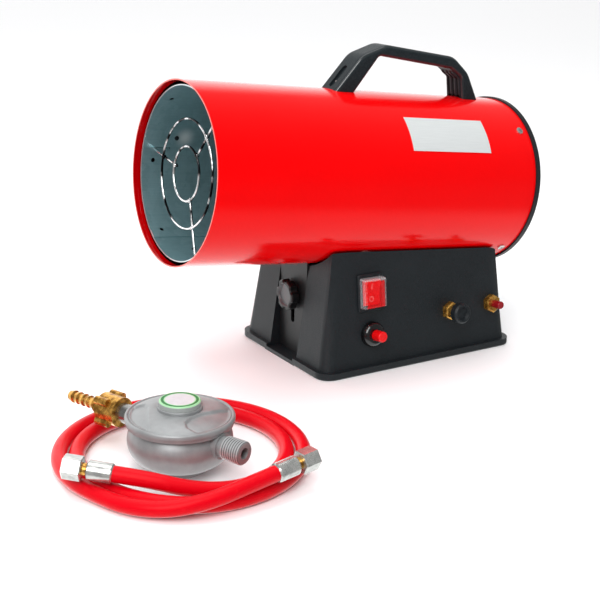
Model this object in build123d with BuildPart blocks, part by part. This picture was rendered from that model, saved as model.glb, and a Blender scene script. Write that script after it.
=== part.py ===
"""Portable propane heater: a tilting sheet-steel tube on a moulded base, with its gas hose and regulator.

Frame: the origin is on the floor below the middle of the base. The outlet looks towards -X and up,
the controls are on the -Y side, and +Z is up. Lengths are in millimetres, angles in degrees.
"""

import os
from math import cos, pi, radians, sin, sqrt, tan

from build123d import *

os.makedirs("parts", exist_ok=True)

# ---------------------------------------------------------------- tube
tube_tilt = 6.0  # nose up, with the tube down on its stop
tube_rear_x = 130.584
tube_rear_z = 159.634
shell_radius = 85.0
shell_wall = 1.2
shell_length = 368.0
chamber_setback = 6.3
chamber_radius = 80.4
chamber_wall = 1.0
chamber_rear_room = 129.7
seam_angle = 213.3
seam_height = 1.0
seam_width = 9.0

trim_lip = 2.5
trim_radius = 86.7
trim_depth = 3.5
trim_inner_lip = 8.0
trim_wall = 2.0
trim_bore_radius = 76.0

rear_screw_inset = 13.0
rear_screw_count = 4
rear_screw_start = 45.0
screw_head_radius = 3.6
screw_head_height = 2.0
screw_shank_radius = 1.7
screw_shank_length = 6.0

chamber_screw_insets = (34.0, 24.3)
chamber_screw_count = 4
chamber_screw_start = 15.3
spacer_radius = 4.5
chamber_head_radius = 3.4
chamber_head_height = 1.8

label_length = 96.0
label_height = 36.5
label_inset = 108.0
label_angle = 50.3
label_thickness = 0.4
label_glue = 0.1

guard_station = 14.0
guard_wire = 1.1
guard_rings = (25.0, 50.0)
guard_spokes = 3
guard_spoke_start = 38.0
guard_leg = 18.0
guard_bend = 5.0

vent_radius = 2.2
vent_count = 7
vent_rows = ((18.5, 11.7), (150.0, 11.7), (180.0, 37.4))

# ---------------------------------------------------------------- burner, fan and motor
baffle_inset = 33.3
baffle_thickness = 1.2
baffle_slots = 12
baffle_slot_radius = 60.0
baffle_slot_arc = 16.0
baffle_slot_width = 7.0
cup_radius = 42.0
cup_length = 52.0
cup_wall = 1.2
cup_floor_radius = 20.0
cup_hole_radius = 3.0
cup_hole_count = 12
cup_hole_rows = (14.0, 30.0)
nozzle_radius = 8.0
nozzle_hex = 17.0
nozzle_length = 24.0
nozzle_jet_radius = 1.2
nozzle_hex_length = 9.0
pipe_radius = 3.0
pipe_bend = 14.0
pipe_drop = 92.0
pipe_hole_gap = 9.0
electrode_angle = 40.0
thermocouple_angle = 320.0
probe_circle = 30.0
ceramic_radius = 4.0
ceramic_length = 30.0
electrode_wire = 1.0
electrode_reach = 16.0
thermocouple_radius = 2.4
thermocouple_length = 44.0
probe_collar_radius = 6.5
probe_collar_length = 4.0
thermostat_radius = 8.5
thermostat_height = 7.0
thermostat_circle = 68.0
thermostat_angle = 140.0

motor_radius = 31.0
motor_length = 42.0
motor_inset = 62.0
motor_boss_radius = 12.0
motor_boss_length = 6.0
motor_fins = 12
motor_fin_height = 2.0
motor_fin_width = 3.0
motor_band = 8.0
bracket_arms = 4
bracket_arm_width = 14.0
bracket_arm_thickness = 2.0
bracket_ring_width = 9.0
bracket_foot = 9.5
fan_inset = 100.0
fan_depth = 22.0
fan_hub_radius = 19.0
fan_hub_wall = 2.0
fan_hub_floor = 3.0
fan_radius = 72.0
fan_blades = 5
fan_root_chord = 24.0
fan_tip_chord = 38.0
fan_root_pitch = 42.0
fan_tip_pitch = 24.0
fan_blade_thickness = 1.6
shaft_radius = 3.0
shaft_reach = 18.0
collar_radius = 7.0
collar_length = 8.0

grille_thickness = 1.2
grille_slot_width = 7.0
grille_slot_radii = (24.0, 38.0, 52.0, 66.0)
grille_slots = 4
grille_bridge = 9.0

# ---------------------------------------------------------------- handle
handle_width = 28.0
handle_edge = 4.0
handle_sink = 6.0
handle_inset = 30.0
handle_outer = ((-184.5, 0.0), (-154.0, 34.0), (-126.0, 46.0), (-41.0, 40.0), (-20.0, 25.0), (0.0, 0.0))
handle_inner = ((-161.0, 0.0), (-133.0, 35.0), (-43.0, 28.0), (-29.0, 20.0), (-23.0, 0.0))
handle_outer_radius = 22.0
handle_inner_radius = 6.0
handle_recess_length = 26.0
handle_recess_width = 7.0
handle_recess_depth = 2.5
handle_recess_middle = 0.46
grip_groove_count = 3
grip_groove_pitch = 6.5
grip_groove_width = 2.6
grip_groove_depth = 1.8
handle_screw_insets = (170.0, 12.0)
handle_screw_radius = 2.5
handle_screw_depth = 8.0
handle_screw_head = 4.5
handle_screw_head_height = 2.4

# ---------------------------------------------------------------- base
base_length = 230.0
base_width = 156.0
base_corner = 12.0
base_draft = 7.5
base_wall = 3.0
base_blank_height = 140.0
flange_out = 3.7
flange_height = 7.0
flange_edge = 1.6
saddle_gap = 2.6
channel_half_width = 25.0
channel_depth = 21.0
channel_sill = 4.0
plate_thickness = 2.0
boss_radius = 6.0
boss_height = 24.0
boss_inset_x = 11.0
boss_inset_y = 10.5
boss_pilot = 1.6
bottom_screw_head = 3.6
bottom_screw_sink = 1.0
plate_margin = 3.6
bottom_screw_length = 14.0
vent_slot_length = 34.0
vent_slot_width = 4.0
vent_slot_count = 6
vent_slot_pitch = 9.0

# ---------------------------------------------------------------- tilt hinge and clamp
pivot_inset = 27.0
pivot_z = 50.0
knob_z = 65.0
tilt_range = 8.0
pin_radius = 3.0
pin_head_radius = 5.0
pin_head_length = 2.0
running_clearance = 0.05
lug_side_gap = 4.0
lug_thickness = 3.0
lug_round = 9.0
lug_length = 50.0
rib_inset = 44.0
rib_thickness = 4.0
rib_length = 34.0
rib_above_pin = 10.0
bracket_inset = 11.4
bracket_thickness = 2.0
bracket_half_width = 24.4
bracket_bottom = 4.5
stud_radius = 3.0
slot_clearance = 0.3
stud_spacer_radius = 7.0
stud_spacer_length = 4.0
stud_head_radius = 7.0
stud_head_length = 5.0
stud_into_knob = 6.0
knob_radius = 15.5
knob_lobes = 6
knob_lobe_cut = 5.0
knob_thickness = 8.4
knob_hub_radius = 8.0
knob_hub_length = 1.2
knob_gap = 1.3
knob_dish_radius = 11.4
knob_dish_depth = 2.2
knob_edge = 1.2

# ---------------------------------------------------------------- controls on the side wall
switch_inset = 56.4
switch_z = 78.8
frame_width = 29.8
frame_height = 36.8
frame_thickness = 2.4
frame_skirt = 9.0
frame_skirt_wall = 1.6
rocker_width = 19.0
rocker_half_length = 12.2
rocker_angle = 14.0
rocker_rise = 1.6
rocker_depth = 4.0
rocker_gap = 0.6
rocker_pin_radius = 1.5
rocker_pin_in_frame = 1.2
cover_wall = 0.9
cover_height = 8.4
cover_half_width = 13.2
cover_half_height = 14.9
cover_edge = 1.8
cover_draft = 4.0
switch_body_depth = 20.0
terminal_width = 6.3
terminal_thickness = 0.8
terminal_length = 9.0
terminal_pitch = 8.0
terminal_row_pitch = 12.0

igniter_inset = 56.8
igniter_z = 37.6
collar_base_radius = 12.6
collar_top_radius = 8.2
collar_height = 8.0
collar_step = 2.2
igniter_body_radius = 8.0
igniter_body_depth = 38.0
igniter_button_radius = 5.3
igniter_button_reach = 19.5
igniter_button_inside = 10.0
igniter_button_edge = 1.5
igniter_travel = 6.0

valve_inset = 76.8
inlet_inset = 23.5
gas_z = 46.3
gas_hex = 16.5
gas_hex_length = 7.0
gas_hex_chamfer = 1.2
valve_body_radius = 10.0
valve_body_depth = 32.0
valve_stem_radius = 3.5
valve_stem_inside = 10.0
valve_knob_radius = 10.2
valve_knob_back = 13.5
valve_knob_front = 22.5
valve_knob_dish = 2.6
valve_knob_dish_radius = 7.2
valve_knob_edge = 1.5
valve_knob_back_edge = 1.0
plug_radius = 7.0
valve_travel = 5.0
inlet_body_radius = 7.0
inlet_body_depth = 18.0
inlet_nipple_radius = 2.8
inlet_nipple_reach = 14.0
inlet_bore_radius = 1.6
cap_radius = 4.0
cap_reach = 18.0
cap_gap = 0.3
cap_dome = 1.6
supply_depth = 28.0
supply_bend = 9.0
valve_boss_radius = 5.0
valve_boss_reach = 14.0
slide_clearance = 0.3

gland_inset = 26.0
gland_z = 34.0
gland_hex = 19.0
gland_hex_length = 6.0
gland_dome_radius = 8.0
gland_dome_length = 11.0
gland_dome_draft = 12.0
gland_bore_radius = 3.6
gland_thread_radius = 7.5
gland_thread_length = 9.0
block_length = 42.0
block_width = 20.0
block_height = 14.0
block_inset = 75.0
block_y = 24.0
block_ways = 4
block_screw_radius = 2.2
block_screw_depth = 4.0

# ---------------------------------------------------------------- hose and regulator
set_x = -308.0
set_y = -162.0
set_turn = -32.4
hose_radius = 6.5
bend_share = 0.45
coil_strand_radius = 85.0
coil_pitch = 14.0
coil_edge = 5.0
fitting_hex = 17.0
fitting_nut_length = 15.0
fitting_nut_lip = 2.0
ferrule_radius = 7.8
ferrule_length = 20.0
nipple_radius = 5.0
nipple_gap = 4.0
nipple_inside = 10.0
nipple_bore = 3.2
ferrule_edge = 1.0
nut_edge = 0.8

regulator_y = -16.0
regulator_turn = 145.0
port_height = 30.0
regulator_foot = 5.0
regulator_hub_radius = 22.5
regulator_bowl_radius = 36.5
regulator_flange_radius = 43.0
regulator_flange_z = 39.0
regulator_flange_thickness = 3.0
cover_rim_radius = 44.0
cover_rim_height = 3.5
cover_rim_width = 3.5
cover_rim_edge = 1.0
cover_dome_height = 9.0
cover_boss_radius = 18.2
cover_boss_height = 2.5
cover_bore_radius = 13.4
cap_disc_radius = 16.8
cap_disc_height = 4.5
cap_disc_edge = 1.0
cap_thread_length = 6.0
inlet_stub_radius = 8.2
inlet_stub_start = 43.0
inlet_stub_end = 68.0
inlet_stub_bore = 4.0
outlet_boss_radius = 10.5
outlet_boss_end = 44.0
outlet_stub_radius = 8.6
outlet_stub_end = 65.0
outlet_bore = 4.5
outlet_bore_depth = 20.0
wing_start = 63.0
wing_length = 25.0
wing_radius = 12.6
wing_lug_radius = 16.2
wing_lug_start = 45.0
wing_lug_length = 13.0
wing_lugs = 4
wing_nose_hex = 17.0
wing_nose_length = 5.0
barb_collar_length = 13.0
barb_neck_radius = 5.0
barb_neck_length = 9.0
barb_end = 122.0
barb_core_radius = 4.2
barb_ridge_radius = 5.4
barb_ridges = 5
barb_ridge_pitch = 6.0
barb_bore = 2.6
barb_ridge_share = 0.8
barb_collar_radius = 7.6

# ---------------------------------------------------------------- derived places
chamber_length = shell_length - chamber_setback - chamber_rear_room
baffle_station = chamber_setback + chamber_length - baffle_inset
chamber_screw_stations = (
    chamber_setback + chamber_screw_insets[0],
    chamber_setback + chamber_length - chamber_screw_insets[1],
)
rear_screw_station = shell_length - rear_screw_inset
label_station = shell_length - label_inset
motor_station = shell_length - motor_inset
fan_station = shell_length - fan_inset
handle_end = shell_length - handle_inset
handle_screw_stations = [handle_end - inset for inset in handle_screw_insets]
base_front_x = -base_length / 2
base_rear_x = base_length / 2
channel_back_x = base_front_x + channel_depth
bracket_x = base_front_x + bracket_inset
switch_x = base_front_x + switch_inset
igniter_x = base_front_x + igniter_inset
pivot_x = base_rear_x - pivot_inset
valve_x = base_rear_x - valve_inset
inlet_x = base_rear_x - inlet_inset
block_x = base_rear_x - block_inset
boss_x = base_rear_x - boss_inset_x
boss_y = base_width / 2 - boss_inset_y
rib_half_span = base_width / 2 - rib_inset
lug_half_span = rib_half_span - lug_side_gap
gland_y = base_width / 2 - gland_inset

# ---------------------------------------------------------------- derived frames
tube_back = Vector(cos(radians(tube_tilt)), 0, -sin(radians(tube_tilt)))
tube_up = Vector(sin(radians(tube_tilt)), 0, cos(radians(tube_tilt)))
tube_front = Vector(tube_rear_x, 0, tube_rear_z) - tube_back * shell_length
tube_plane = Plane(origin=tube_front, x_dir=tube_up, z_dir=tube_back)
tube_side = Plane(origin=tube_front, x_dir=tube_back, z_dir=(0, -1, 0))
tube_axis = Axis(tube_front, tube_back)


def station(distance):
    """Plane square to the tube behind the front rim; its x is up, its y towards the controls."""
    return tube_plane.offset(distance)


def radial(distance, angle, radius=0.0):
    """Plane that looks outward from the tube's axis; 0 is the top and 90 the controls' side."""
    outward = tube_up * cos(radians(angle)) + Vector(0, -1, 0) * sin(radians(angle))
    return Plane(
        origin=tube_front + tube_back * distance + outward * radius, x_dir=tube_back, z_dir=outward
    )


def wall_plane(x, z, stand_off=0.0):
    """Plane on the drafted wall on the controls' side; its x is along the base, its y up the wall."""
    draft = radians(base_draft)
    outward = Vector(0, -cos(draft), sin(draft))
    foot = Vector(x, -(base_width / 2 - z * tan(draft)), z)
    return Plane(origin=foot + outward * stand_off, x_dir=(1, 0, 0), z_dir=outward)


def flat_inside(radius, half_width):
    """Height at which a flat of this half width meets the inside of a cylinder."""
    return sqrt(radius**2 - half_width**2)


def rear_plane(y, z, stand_off=0.0):
    """Plane on the drafted wall behind; its y runs up the wall."""
    draft = radians(base_draft)
    outward = Vector(cos(draft), 0, sin(draft))
    foot = Vector(base_length / 2 - z * tan(draft), y, z)
    return Plane(origin=foot + outward * stand_off, x_dir=(0, 1, 0), z_dir=outward)


def wall_section(plane):
    """Plane through a wall plane's normal: its x runs along the wall, its y straight out of it."""
    return Plane(origin=plane.origin, x_dir=plane.x_dir, z_dir=plane.x_dir.cross(plane.z_dir))


def save(builder, label):
    """Label a finished piece and write it as its own file."""
    builder.part.label = label
    export_step(builder.part, f"parts/{label}.step")


shell_inner = shell_radius - shell_wall
chamber_inner = chamber_radius - chamber_wall

# ================================================================ tube pieces
# Outer shell: a rolled tube with the screw holes, the pipe slot below and the handle's holes on top.
pipe_station = baffle_station + nozzle_length + pipe_bend
pipe_hole_radius = pipe_radius + pipe_hole_gap
with BuildPart() as outer_shell:
    with BuildSketch(tube_plane):
        Circle(shell_radius)
        Circle(shell_inner, mode=Mode.SUBTRACT)
    extrude(amount=shell_length)
    for number in range(rear_screw_count):
        angle = rear_screw_start + number * 360 / rear_screw_count
        with BuildSketch(radial(rear_screw_station, angle)):
            Circle(screw_shank_radius)
        extrude(amount=shell_radius + shell_wall, mode=Mode.SUBTRACT)
    for place in handle_screw_stations:
        with BuildSketch(radial(place, 0)):
            Circle(handle_screw_radius)
        extrude(amount=shell_radius + shell_wall, mode=Mode.SUBTRACT)
    with BuildSketch(radial(pipe_station, 180)):
        Circle(pipe_hole_radius)
    extrude(amount=shell_radius + shell_wall, mode=Mode.SUBTRACT)
save(outer_shell, "outer_shell")

# Trim ring: an edging that hooks over the shell's rear rim.
with BuildPart() as rear_trim_ring:
    with BuildSketch(tube_side):
        with BuildLine():
            Polyline(
                (shell_length - trim_lip, shell_radius),
                (shell_length - trim_lip, trim_radius),
                (shell_length + trim_depth - 1, trim_radius),
                (shell_length + trim_depth, trim_radius - 1),
                (shell_length + trim_depth, trim_bore_radius),
                (shell_length + trim_depth - trim_wall, trim_bore_radius),
                (shell_length + trim_depth - trim_wall, shell_inner - trim_wall),
                (shell_length - trim_inner_lip, shell_inner - trim_wall),
                (shell_length - trim_inner_lip, shell_inner),
                (shell_length, shell_inner),
                (shell_length, shell_radius),
                close=True,
            )
        make_face()
    revolve(axis=tube_axis)
save(rear_trim_ring, "rear_trim_ring")

# Rear screws: pan heads round the rear of the shell that hold the motor bracket's feet.
with BuildPart() as rear_screws:
    for number in range(rear_screw_count):
        angle = rear_screw_start + number * 360 / rear_screw_count
        with BuildSketch(radial(rear_screw_station, angle, shell_radius - screw_shank_length)):
            Circle(screw_shank_radius)
        extrude(amount=screw_shank_length)
        with BuildSketch(radial(rear_screw_station, angle, shell_radius)):
            Circle(screw_head_radius)
        extrude(amount=screw_head_height, taper=20)
save(rear_screws, "rear_screws")

# Label plate: a bare foil bent round the shell.
label_sweep = label_height / shell_radius * 180 / pi
label_inner = shell_radius + label_glue
with BuildPart() as label_plate:
    with BuildSketch(station(label_station - label_length / 2)):
        with BuildLine():
            first = label_angle - label_sweep / 2
            CenterArc((0, 0), label_inner, first, label_sweep)
            CenterArc((0, 0), label_inner + label_thickness, first, label_sweep)
            for angle in (first, first + label_sweep):
                PolarLine((label_inner * cos(radians(angle)), label_inner * sin(radians(angle))),
                          label_thickness, angle)
        make_face()
    extrude(amount=label_length)
save(label_plate, "label_plate")

# Combustion chamber: a galvanised tube with a lap seam and rows of air holes.
with BuildPart() as inner_chamber:
    with BuildSketch(station(chamber_setback)):
        Circle(chamber_radius)
        Circle(chamber_inner, mode=Mode.SUBTRACT)
    extrude(amount=chamber_length)
    with BuildSketch(radial(chamber_setback + chamber_length / 2, seam_angle, chamber_inner - seam_height)):
        Rectangle(chamber_length, seam_width)
    extrude(amount=seam_height + chamber_wall / 2)
    for place, first in vent_rows:
        for number in range(vent_count):
            with BuildSketch(radial(place, first + number * 360 / vent_count)):
                Circle(vent_radius)
            extrude(amount=shell_radius, mode=Mode.SUBTRACT)
    for place in chamber_screw_stations:
        for number in range(chamber_screw_count):
            angle = chamber_screw_start + number * 360 / chamber_screw_count
            with BuildSketch(radial(place, angle)):
                Circle(screw_shank_radius)
            extrude(amount=shell_radius, mode=Mode.SUBTRACT)
save(inner_chamber, "inner_chamber")

# Chamber screws: each is driven into a spacer collar welded to the shell's inside.
head_seat = flat_inside(chamber_inner, chamber_head_radius)
spacer_seat = flat_inside(shell_inner, spacer_radius)
with BuildPart() as chamber_screws:
    for place in chamber_screw_stations:
        for number in range(chamber_screw_count):
            angle = chamber_screw_start + number * 360 / chamber_screw_count
            with BuildSketch(radial(place, angle, head_seat - chamber_head_height)):
                Circle(screw_shank_radius)
            extrude(amount=spacer_seat - head_seat + chamber_head_height)
            with BuildSketch(radial(place, angle, head_seat - chamber_head_height)):
                Circle(chamber_head_radius)
            extrude(amount=chamber_head_height)
            with BuildSketch(radial(place, angle, chamber_radius)):
                Circle(spacer_radius)
            extrude(amount=spacer_seat - chamber_radius)
save(chamber_screws, "chamber_screws")

# Front guard: two wire rings on three spokes whose ends turn back along the chamber's wall.
guard_overlap = 0.6 * guard_wire
spoke_station = guard_station + 2 * guard_wire - guard_overlap
spoke_reach = chamber_inner - guard_wire
with BuildPart() as front_guard:
    for ring in guard_rings:
        with BuildSketch(tube_side):
            with Locations((guard_station, ring)):
                Circle(guard_wire)
        revolve(axis=tube_axis)
    for number in range(guard_spokes):
        angle = guard_spoke_start + number * 360 / guard_spokes
        outward = tube_up * cos(radians(angle)) + Vector(0, -1, 0) * sin(radians(angle))
        origin = tube_front + tube_back * spoke_station
        with BuildLine() as spoke:
            FilletPolyline(
                origin + outward * (guard_rings[0] - 2 * guard_wire),
                origin + outward * spoke_reach,
                origin + outward * spoke_reach + tube_back * guard_leg,
                radius=guard_bend,
            )
        with BuildSketch(Plane(origin=spoke.line @ 0, z_dir=spoke.line % 0)):
            Circle(guard_wire)
        sweep(path=spoke.line)
save(front_guard, "front_guard")

# Flame baffle: the disc that closes the chamber round the burner, with a ring of air slots.
baffle_arcs = [
    CenterArc((0, 0), baffle_slot_radius, number * 360 / baffle_slots, baffle_slot_arc)
    for number in range(baffle_slots)
]
with BuildPart() as flame_baffle:
    with BuildSketch(station(baffle_station)):
        Circle(chamber_inner)
        Circle(nozzle_radius, mode=Mode.SUBTRACT)
        for slot_arc in baffle_arcs:
            SlotArc(slot_arc, baffle_slot_width, mode=Mode.SUBTRACT)
        for angle, radius in (
            (electrode_angle, ceramic_radius),
            (thermocouple_angle, thermocouple_radius),
        ):
            with Locations((probe_circle * cos(radians(angle)), probe_circle * sin(radians(angle)))):
                Circle(radius, mode=Mode.SUBTRACT)
    extrude(amount=baffle_thickness)
    with BuildSketch(radial(baffle_station, seam_angle, chamber_inner - seam_height - slide_clearance)):
        Rectangle(4 * baffle_thickness, seam_width + 2 * slide_clearance)
    extrude(amount=chamber_wall + seam_height, mode=Mode.SUBTRACT)
save(flame_baffle, "flame_baffle")

# Burner cup: a flared steel cup in front of the baffle with two rows of flame holes.
with BuildPart() as burner_cup:
    with BuildSketch(tube_side):
        with BuildLine():
            front = baffle_station - cup_length
            Polyline(
                (baffle_station, nozzle_radius),
                (baffle_station, cup_radius),
                (front, cup_radius + cup_floor_radius / 2),
                (front, cup_radius + cup_floor_radius / 2 - cup_wall),
                (baffle_station - cup_wall, cup_radius - cup_wall),
                (baffle_station - cup_wall, nozzle_radius),
                close=True,
            )
        make_face()
    revolve(axis=tube_axis)
    for row in cup_hole_rows:
        for number in range(cup_hole_count):
            with BuildSketch(radial(baffle_station - row, number * 360 / cup_hole_count)):
                Circle(cup_hole_radius)
            extrude(amount=chamber_inner, mode=Mode.SUBTRACT)
    for angle, radius in ((electrode_angle, ceramic_radius), (thermocouple_angle, thermocouple_radius)):
        with BuildSketch(station(baffle_station - cup_wall)):
            with Locations((probe_circle * cos(radians(angle)), probe_circle * sin(radians(angle)))):
                Circle(radius)
        extrude(amount=cup_wall, mode=Mode.SUBTRACT)
save(burner_cup, "burner_cup")

# Nozzle: a brass jet whose hexagon sits behind the baffle.
with BuildPart() as burner_nozzle:
    with BuildSketch(station(baffle_station - nozzle_hex_length)):
        Circle(nozzle_radius)
    extrude(amount=nozzle_length)
    with BuildSketch(station(baffle_station + baffle_thickness)):
        RegularPolygon(nozzle_hex / 2, 6, major_radius=False)
    extrude(amount=nozzle_hex_length)
    with BuildSketch(station(baffle_station - nozzle_hex_length)):
        Circle(nozzle_jet_radius)
    extrude(amount=nozzle_hex_length, mode=Mode.SUBTRACT)
save(burner_nozzle, "burner_nozzle")

# Burner pipe: copper, from the nozzle back and down through the slot in the shell.
pipe_start = baffle_station + nozzle_length - nozzle_hex_length
with BuildPart() as burner_pipe:
    with BuildLine() as pipe_path:
        FilletPolyline(
            tube_front + tube_back * pipe_start,
            tube_front + tube_back * pipe_station,
            tube_front + tube_back * pipe_station - tube_up * pipe_drop,
            radius=pipe_bend,
        )
    with BuildSketch(Plane(origin=pipe_path.line @ 0, z_dir=pipe_path.line % 0)):
        Circle(pipe_radius)
    sweep(path=pipe_path.line)
save(burner_pipe, "burner_pipe")

# Spark electrode: a ceramic with its wire, bent towards the flame.
with BuildPart() as spark_electrode:
    probe_x = probe_circle * cos(radians(electrode_angle))
    probe_y = probe_circle * sin(radians(electrode_angle))
    with BuildSketch(station(baffle_station - ceramic_length / 2)):
        with Locations((probe_x, probe_y)):
            Circle(ceramic_radius)
    extrude(amount=ceramic_length)
    with BuildSketch(station(baffle_station + baffle_thickness)):
        with Locations((probe_x, probe_y)):
            Circle(probe_collar_radius)
    extrude(amount=probe_collar_length)
    with BuildSketch(station(baffle_station - ceramic_length / 2 - electrode_reach)):
        with Locations((probe_x, probe_y)):
            Circle(electrode_wire)
    extrude(amount=electrode_reach)
save(spark_electrode, "spark_electrode")

# Thermocouple: a probe through the baffle that holds the gas valve open while it is hot.
with BuildPart() as thermocouple:
    probe_x = probe_circle * cos(radians(thermocouple_angle))
    probe_y = probe_circle * sin(radians(thermocouple_angle))
    with BuildSketch(station(baffle_station - thermocouple_length / 2)):
        with Locations((probe_x, probe_y)):
            Circle(thermocouple_radius)
    extrude(amount=thermocouple_length)
    with BuildSketch(station(baffle_station + baffle_thickness)):
        with Locations((probe_x, probe_y)):
            Circle(probe_collar_radius)
    extrude(amount=probe_collar_length)
save(thermocouple, "thermocouple")

# Overheat thermostat: a button on the back of the baffle.
with BuildPart() as overheat_thermostat:
    with BuildSketch(station(baffle_station + baffle_thickness)):
        with Locations(
            (
                thermostat_circle * cos(radians(thermostat_angle)),
                thermostat_circle * sin(radians(thermostat_angle)),
            )
        ):
            Circle(thermostat_radius)
    extrude(amount=thermostat_height)
save(overheat_thermostat, "overheat_thermostat")

# Fan motor: a finned can with a bearing boss towards the fan.
shaft_bore = shaft_radius + running_clearance
with BuildPart() as fan_motor:
    with BuildSketch(station(motor_station)):
        Circle(motor_radius - motor_fin_height)
    extrude(amount=motor_length)
    with BuildSketch(station(motor_station + motor_band)):
        with PolarLocations(motor_radius - motor_fin_height, motor_fins):
            Rectangle(2 * motor_fin_height, motor_fin_width)
    extrude(amount=motor_length - 2 * motor_band)
    with BuildSketch(station(motor_station - motor_boss_length)):
        Circle(motor_boss_radius)
    extrude(amount=motor_boss_length)
    with BuildSketch(station(motor_station - motor_boss_length)):
        Circle(shaft_bore)
    extrude(amount=shaft_reach + motor_boss_length, mode=Mode.SUBTRACT)
save(fan_motor, "fan_motor")

# Motor bracket: a ring behind the can with arms whose feet turn along the shell.
bracket_station = motor_station + motor_length
with BuildPart() as motor_bracket:
    with BuildSketch(station(bracket_station)):
        Circle(motor_radius)
        Circle(motor_radius - bracket_ring_width, mode=Mode.SUBTRACT)
    extrude(amount=bracket_arm_thickness)
    for number in range(bracket_arms):
        angle = rear_screw_start + number * 360 / bracket_arms
        arm_length = shell_inner - trim_wall / 2 - motor_radius + bracket_ring_width / 2
        with BuildSketch(radial(bracket_station + bracket_arm_thickness / 2, angle, motor_radius
                                - bracket_ring_width / 2)):
            Rectangle(bracket_arm_thickness, bracket_arm_width)
        extrude(amount=arm_length)
        foot = bracket_foot + bracket_arm_thickness
        with BuildSketch(radial(bracket_station + foot / 2, angle, shell_inner - trim_wall)):
            Rectangle(foot, bracket_arm_width)
        extrude(amount=trim_wall)
    with BuildSketch(station(bracket_station)):
        Circle(shell_radius + trim_wall)
        Circle(shell_inner, mode=Mode.SUBTRACT)
    extrude(amount=bracket_foot + trim_wall, mode=Mode.SUBTRACT)
    for number in range(rear_screw_count):
        angle = rear_screw_start + number * 360 / rear_screw_count
        with BuildSketch(radial(rear_screw_station, angle, motor_radius)):
            Circle(screw_shank_radius)
        extrude(amount=shell_radius, mode=Mode.SUBTRACT)
save(motor_bracket, "motor_bracket")

# Fan: twisted blades on a cup hub, pressed on the shaft.
with BuildPart() as fan:
    with BuildSketch(station(fan_station)):
        Circle(fan_hub_radius)
    extrude(amount=fan_depth)
    with BuildSketch(station(fan_station + fan_hub_floor)):
        Circle(fan_hub_radius - fan_hub_wall)
    extrude(amount=fan_depth - fan_hub_floor, mode=Mode.SUBTRACT)
    with BuildSketch(station(fan_station)):
        Circle(collar_radius)
    extrude(amount=fan_depth)
    blade_middle = fan_station + fan_depth / 2
    for number in range(fan_blades):
        angle = number * 360 / fan_blades
        root = radial(blade_middle, angle, fan_hub_radius - fan_hub_wall / 2)
        tip = radial(blade_middle, angle, fan_radius)
        with BuildSketch(root.rotated((0, 0, fan_root_pitch))):
            Rectangle(fan_blade_thickness, fan_root_chord)
        with BuildSketch(tip.rotated((0, 0, fan_root_pitch + fan_tip_pitch))):
            Rectangle(fan_blade_thickness, fan_tip_chord)
        loft()
    with BuildSketch(station(fan_station)):
        Circle(shaft_radius)
    extrude(amount=fan_depth, mode=Mode.SUBTRACT)
save(fan, "fan")

# Fan shaft: steel, pressed in the hub and running in the motor's bore.
with BuildPart() as fan_shaft:
    with BuildSketch(station(fan_station - collar_length / 2)):
        Circle(shaft_radius)
    extrude(amount=motor_station + shaft_reach - running_clearance - fan_station + collar_length / 2)
    fillet(fan_shaft.edges().sort_by(Axis.X)[0], shaft_radius / 4)
save(fan_shaft, "fan_shaft")

# Rear grille: a stamped disc held under the trim ring's lip.
grille_station = shell_length + trim_depth - trim_wall - grille_thickness
grille_arcs = []
for radius in grille_slot_radii:
    bridge_angle = (grille_bridge + grille_slot_width) / radius * 180 / pi
    for number in range(grille_slots):
        first = number * 360 / grille_slots + bridge_angle / 2
        grille_arcs.append(CenterArc((0, 0), radius, first, 360 / grille_slots - bridge_angle))
with BuildPart() as rear_grille:
    with BuildSketch(station(grille_station)):
        Circle(shell_inner - trim_wall)
        for slot_arc in grille_arcs:
            SlotArc(slot_arc, grille_slot_width, mode=Mode.SUBTRACT)
    extrude(amount=grille_thickness)
save(rear_grille, "rear_grille")

# Handle: an arch with a slanted front leg, a bar that falls to the rear and a steep rear leg.
handle_foot = shell_radius - handle_sink


def handle_point(x, y):
    """A point of the handle's outline; the points at height 0 reach down into the shell."""
    return (handle_end + x, handle_foot if y == 0 else shell_radius + y)


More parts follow.
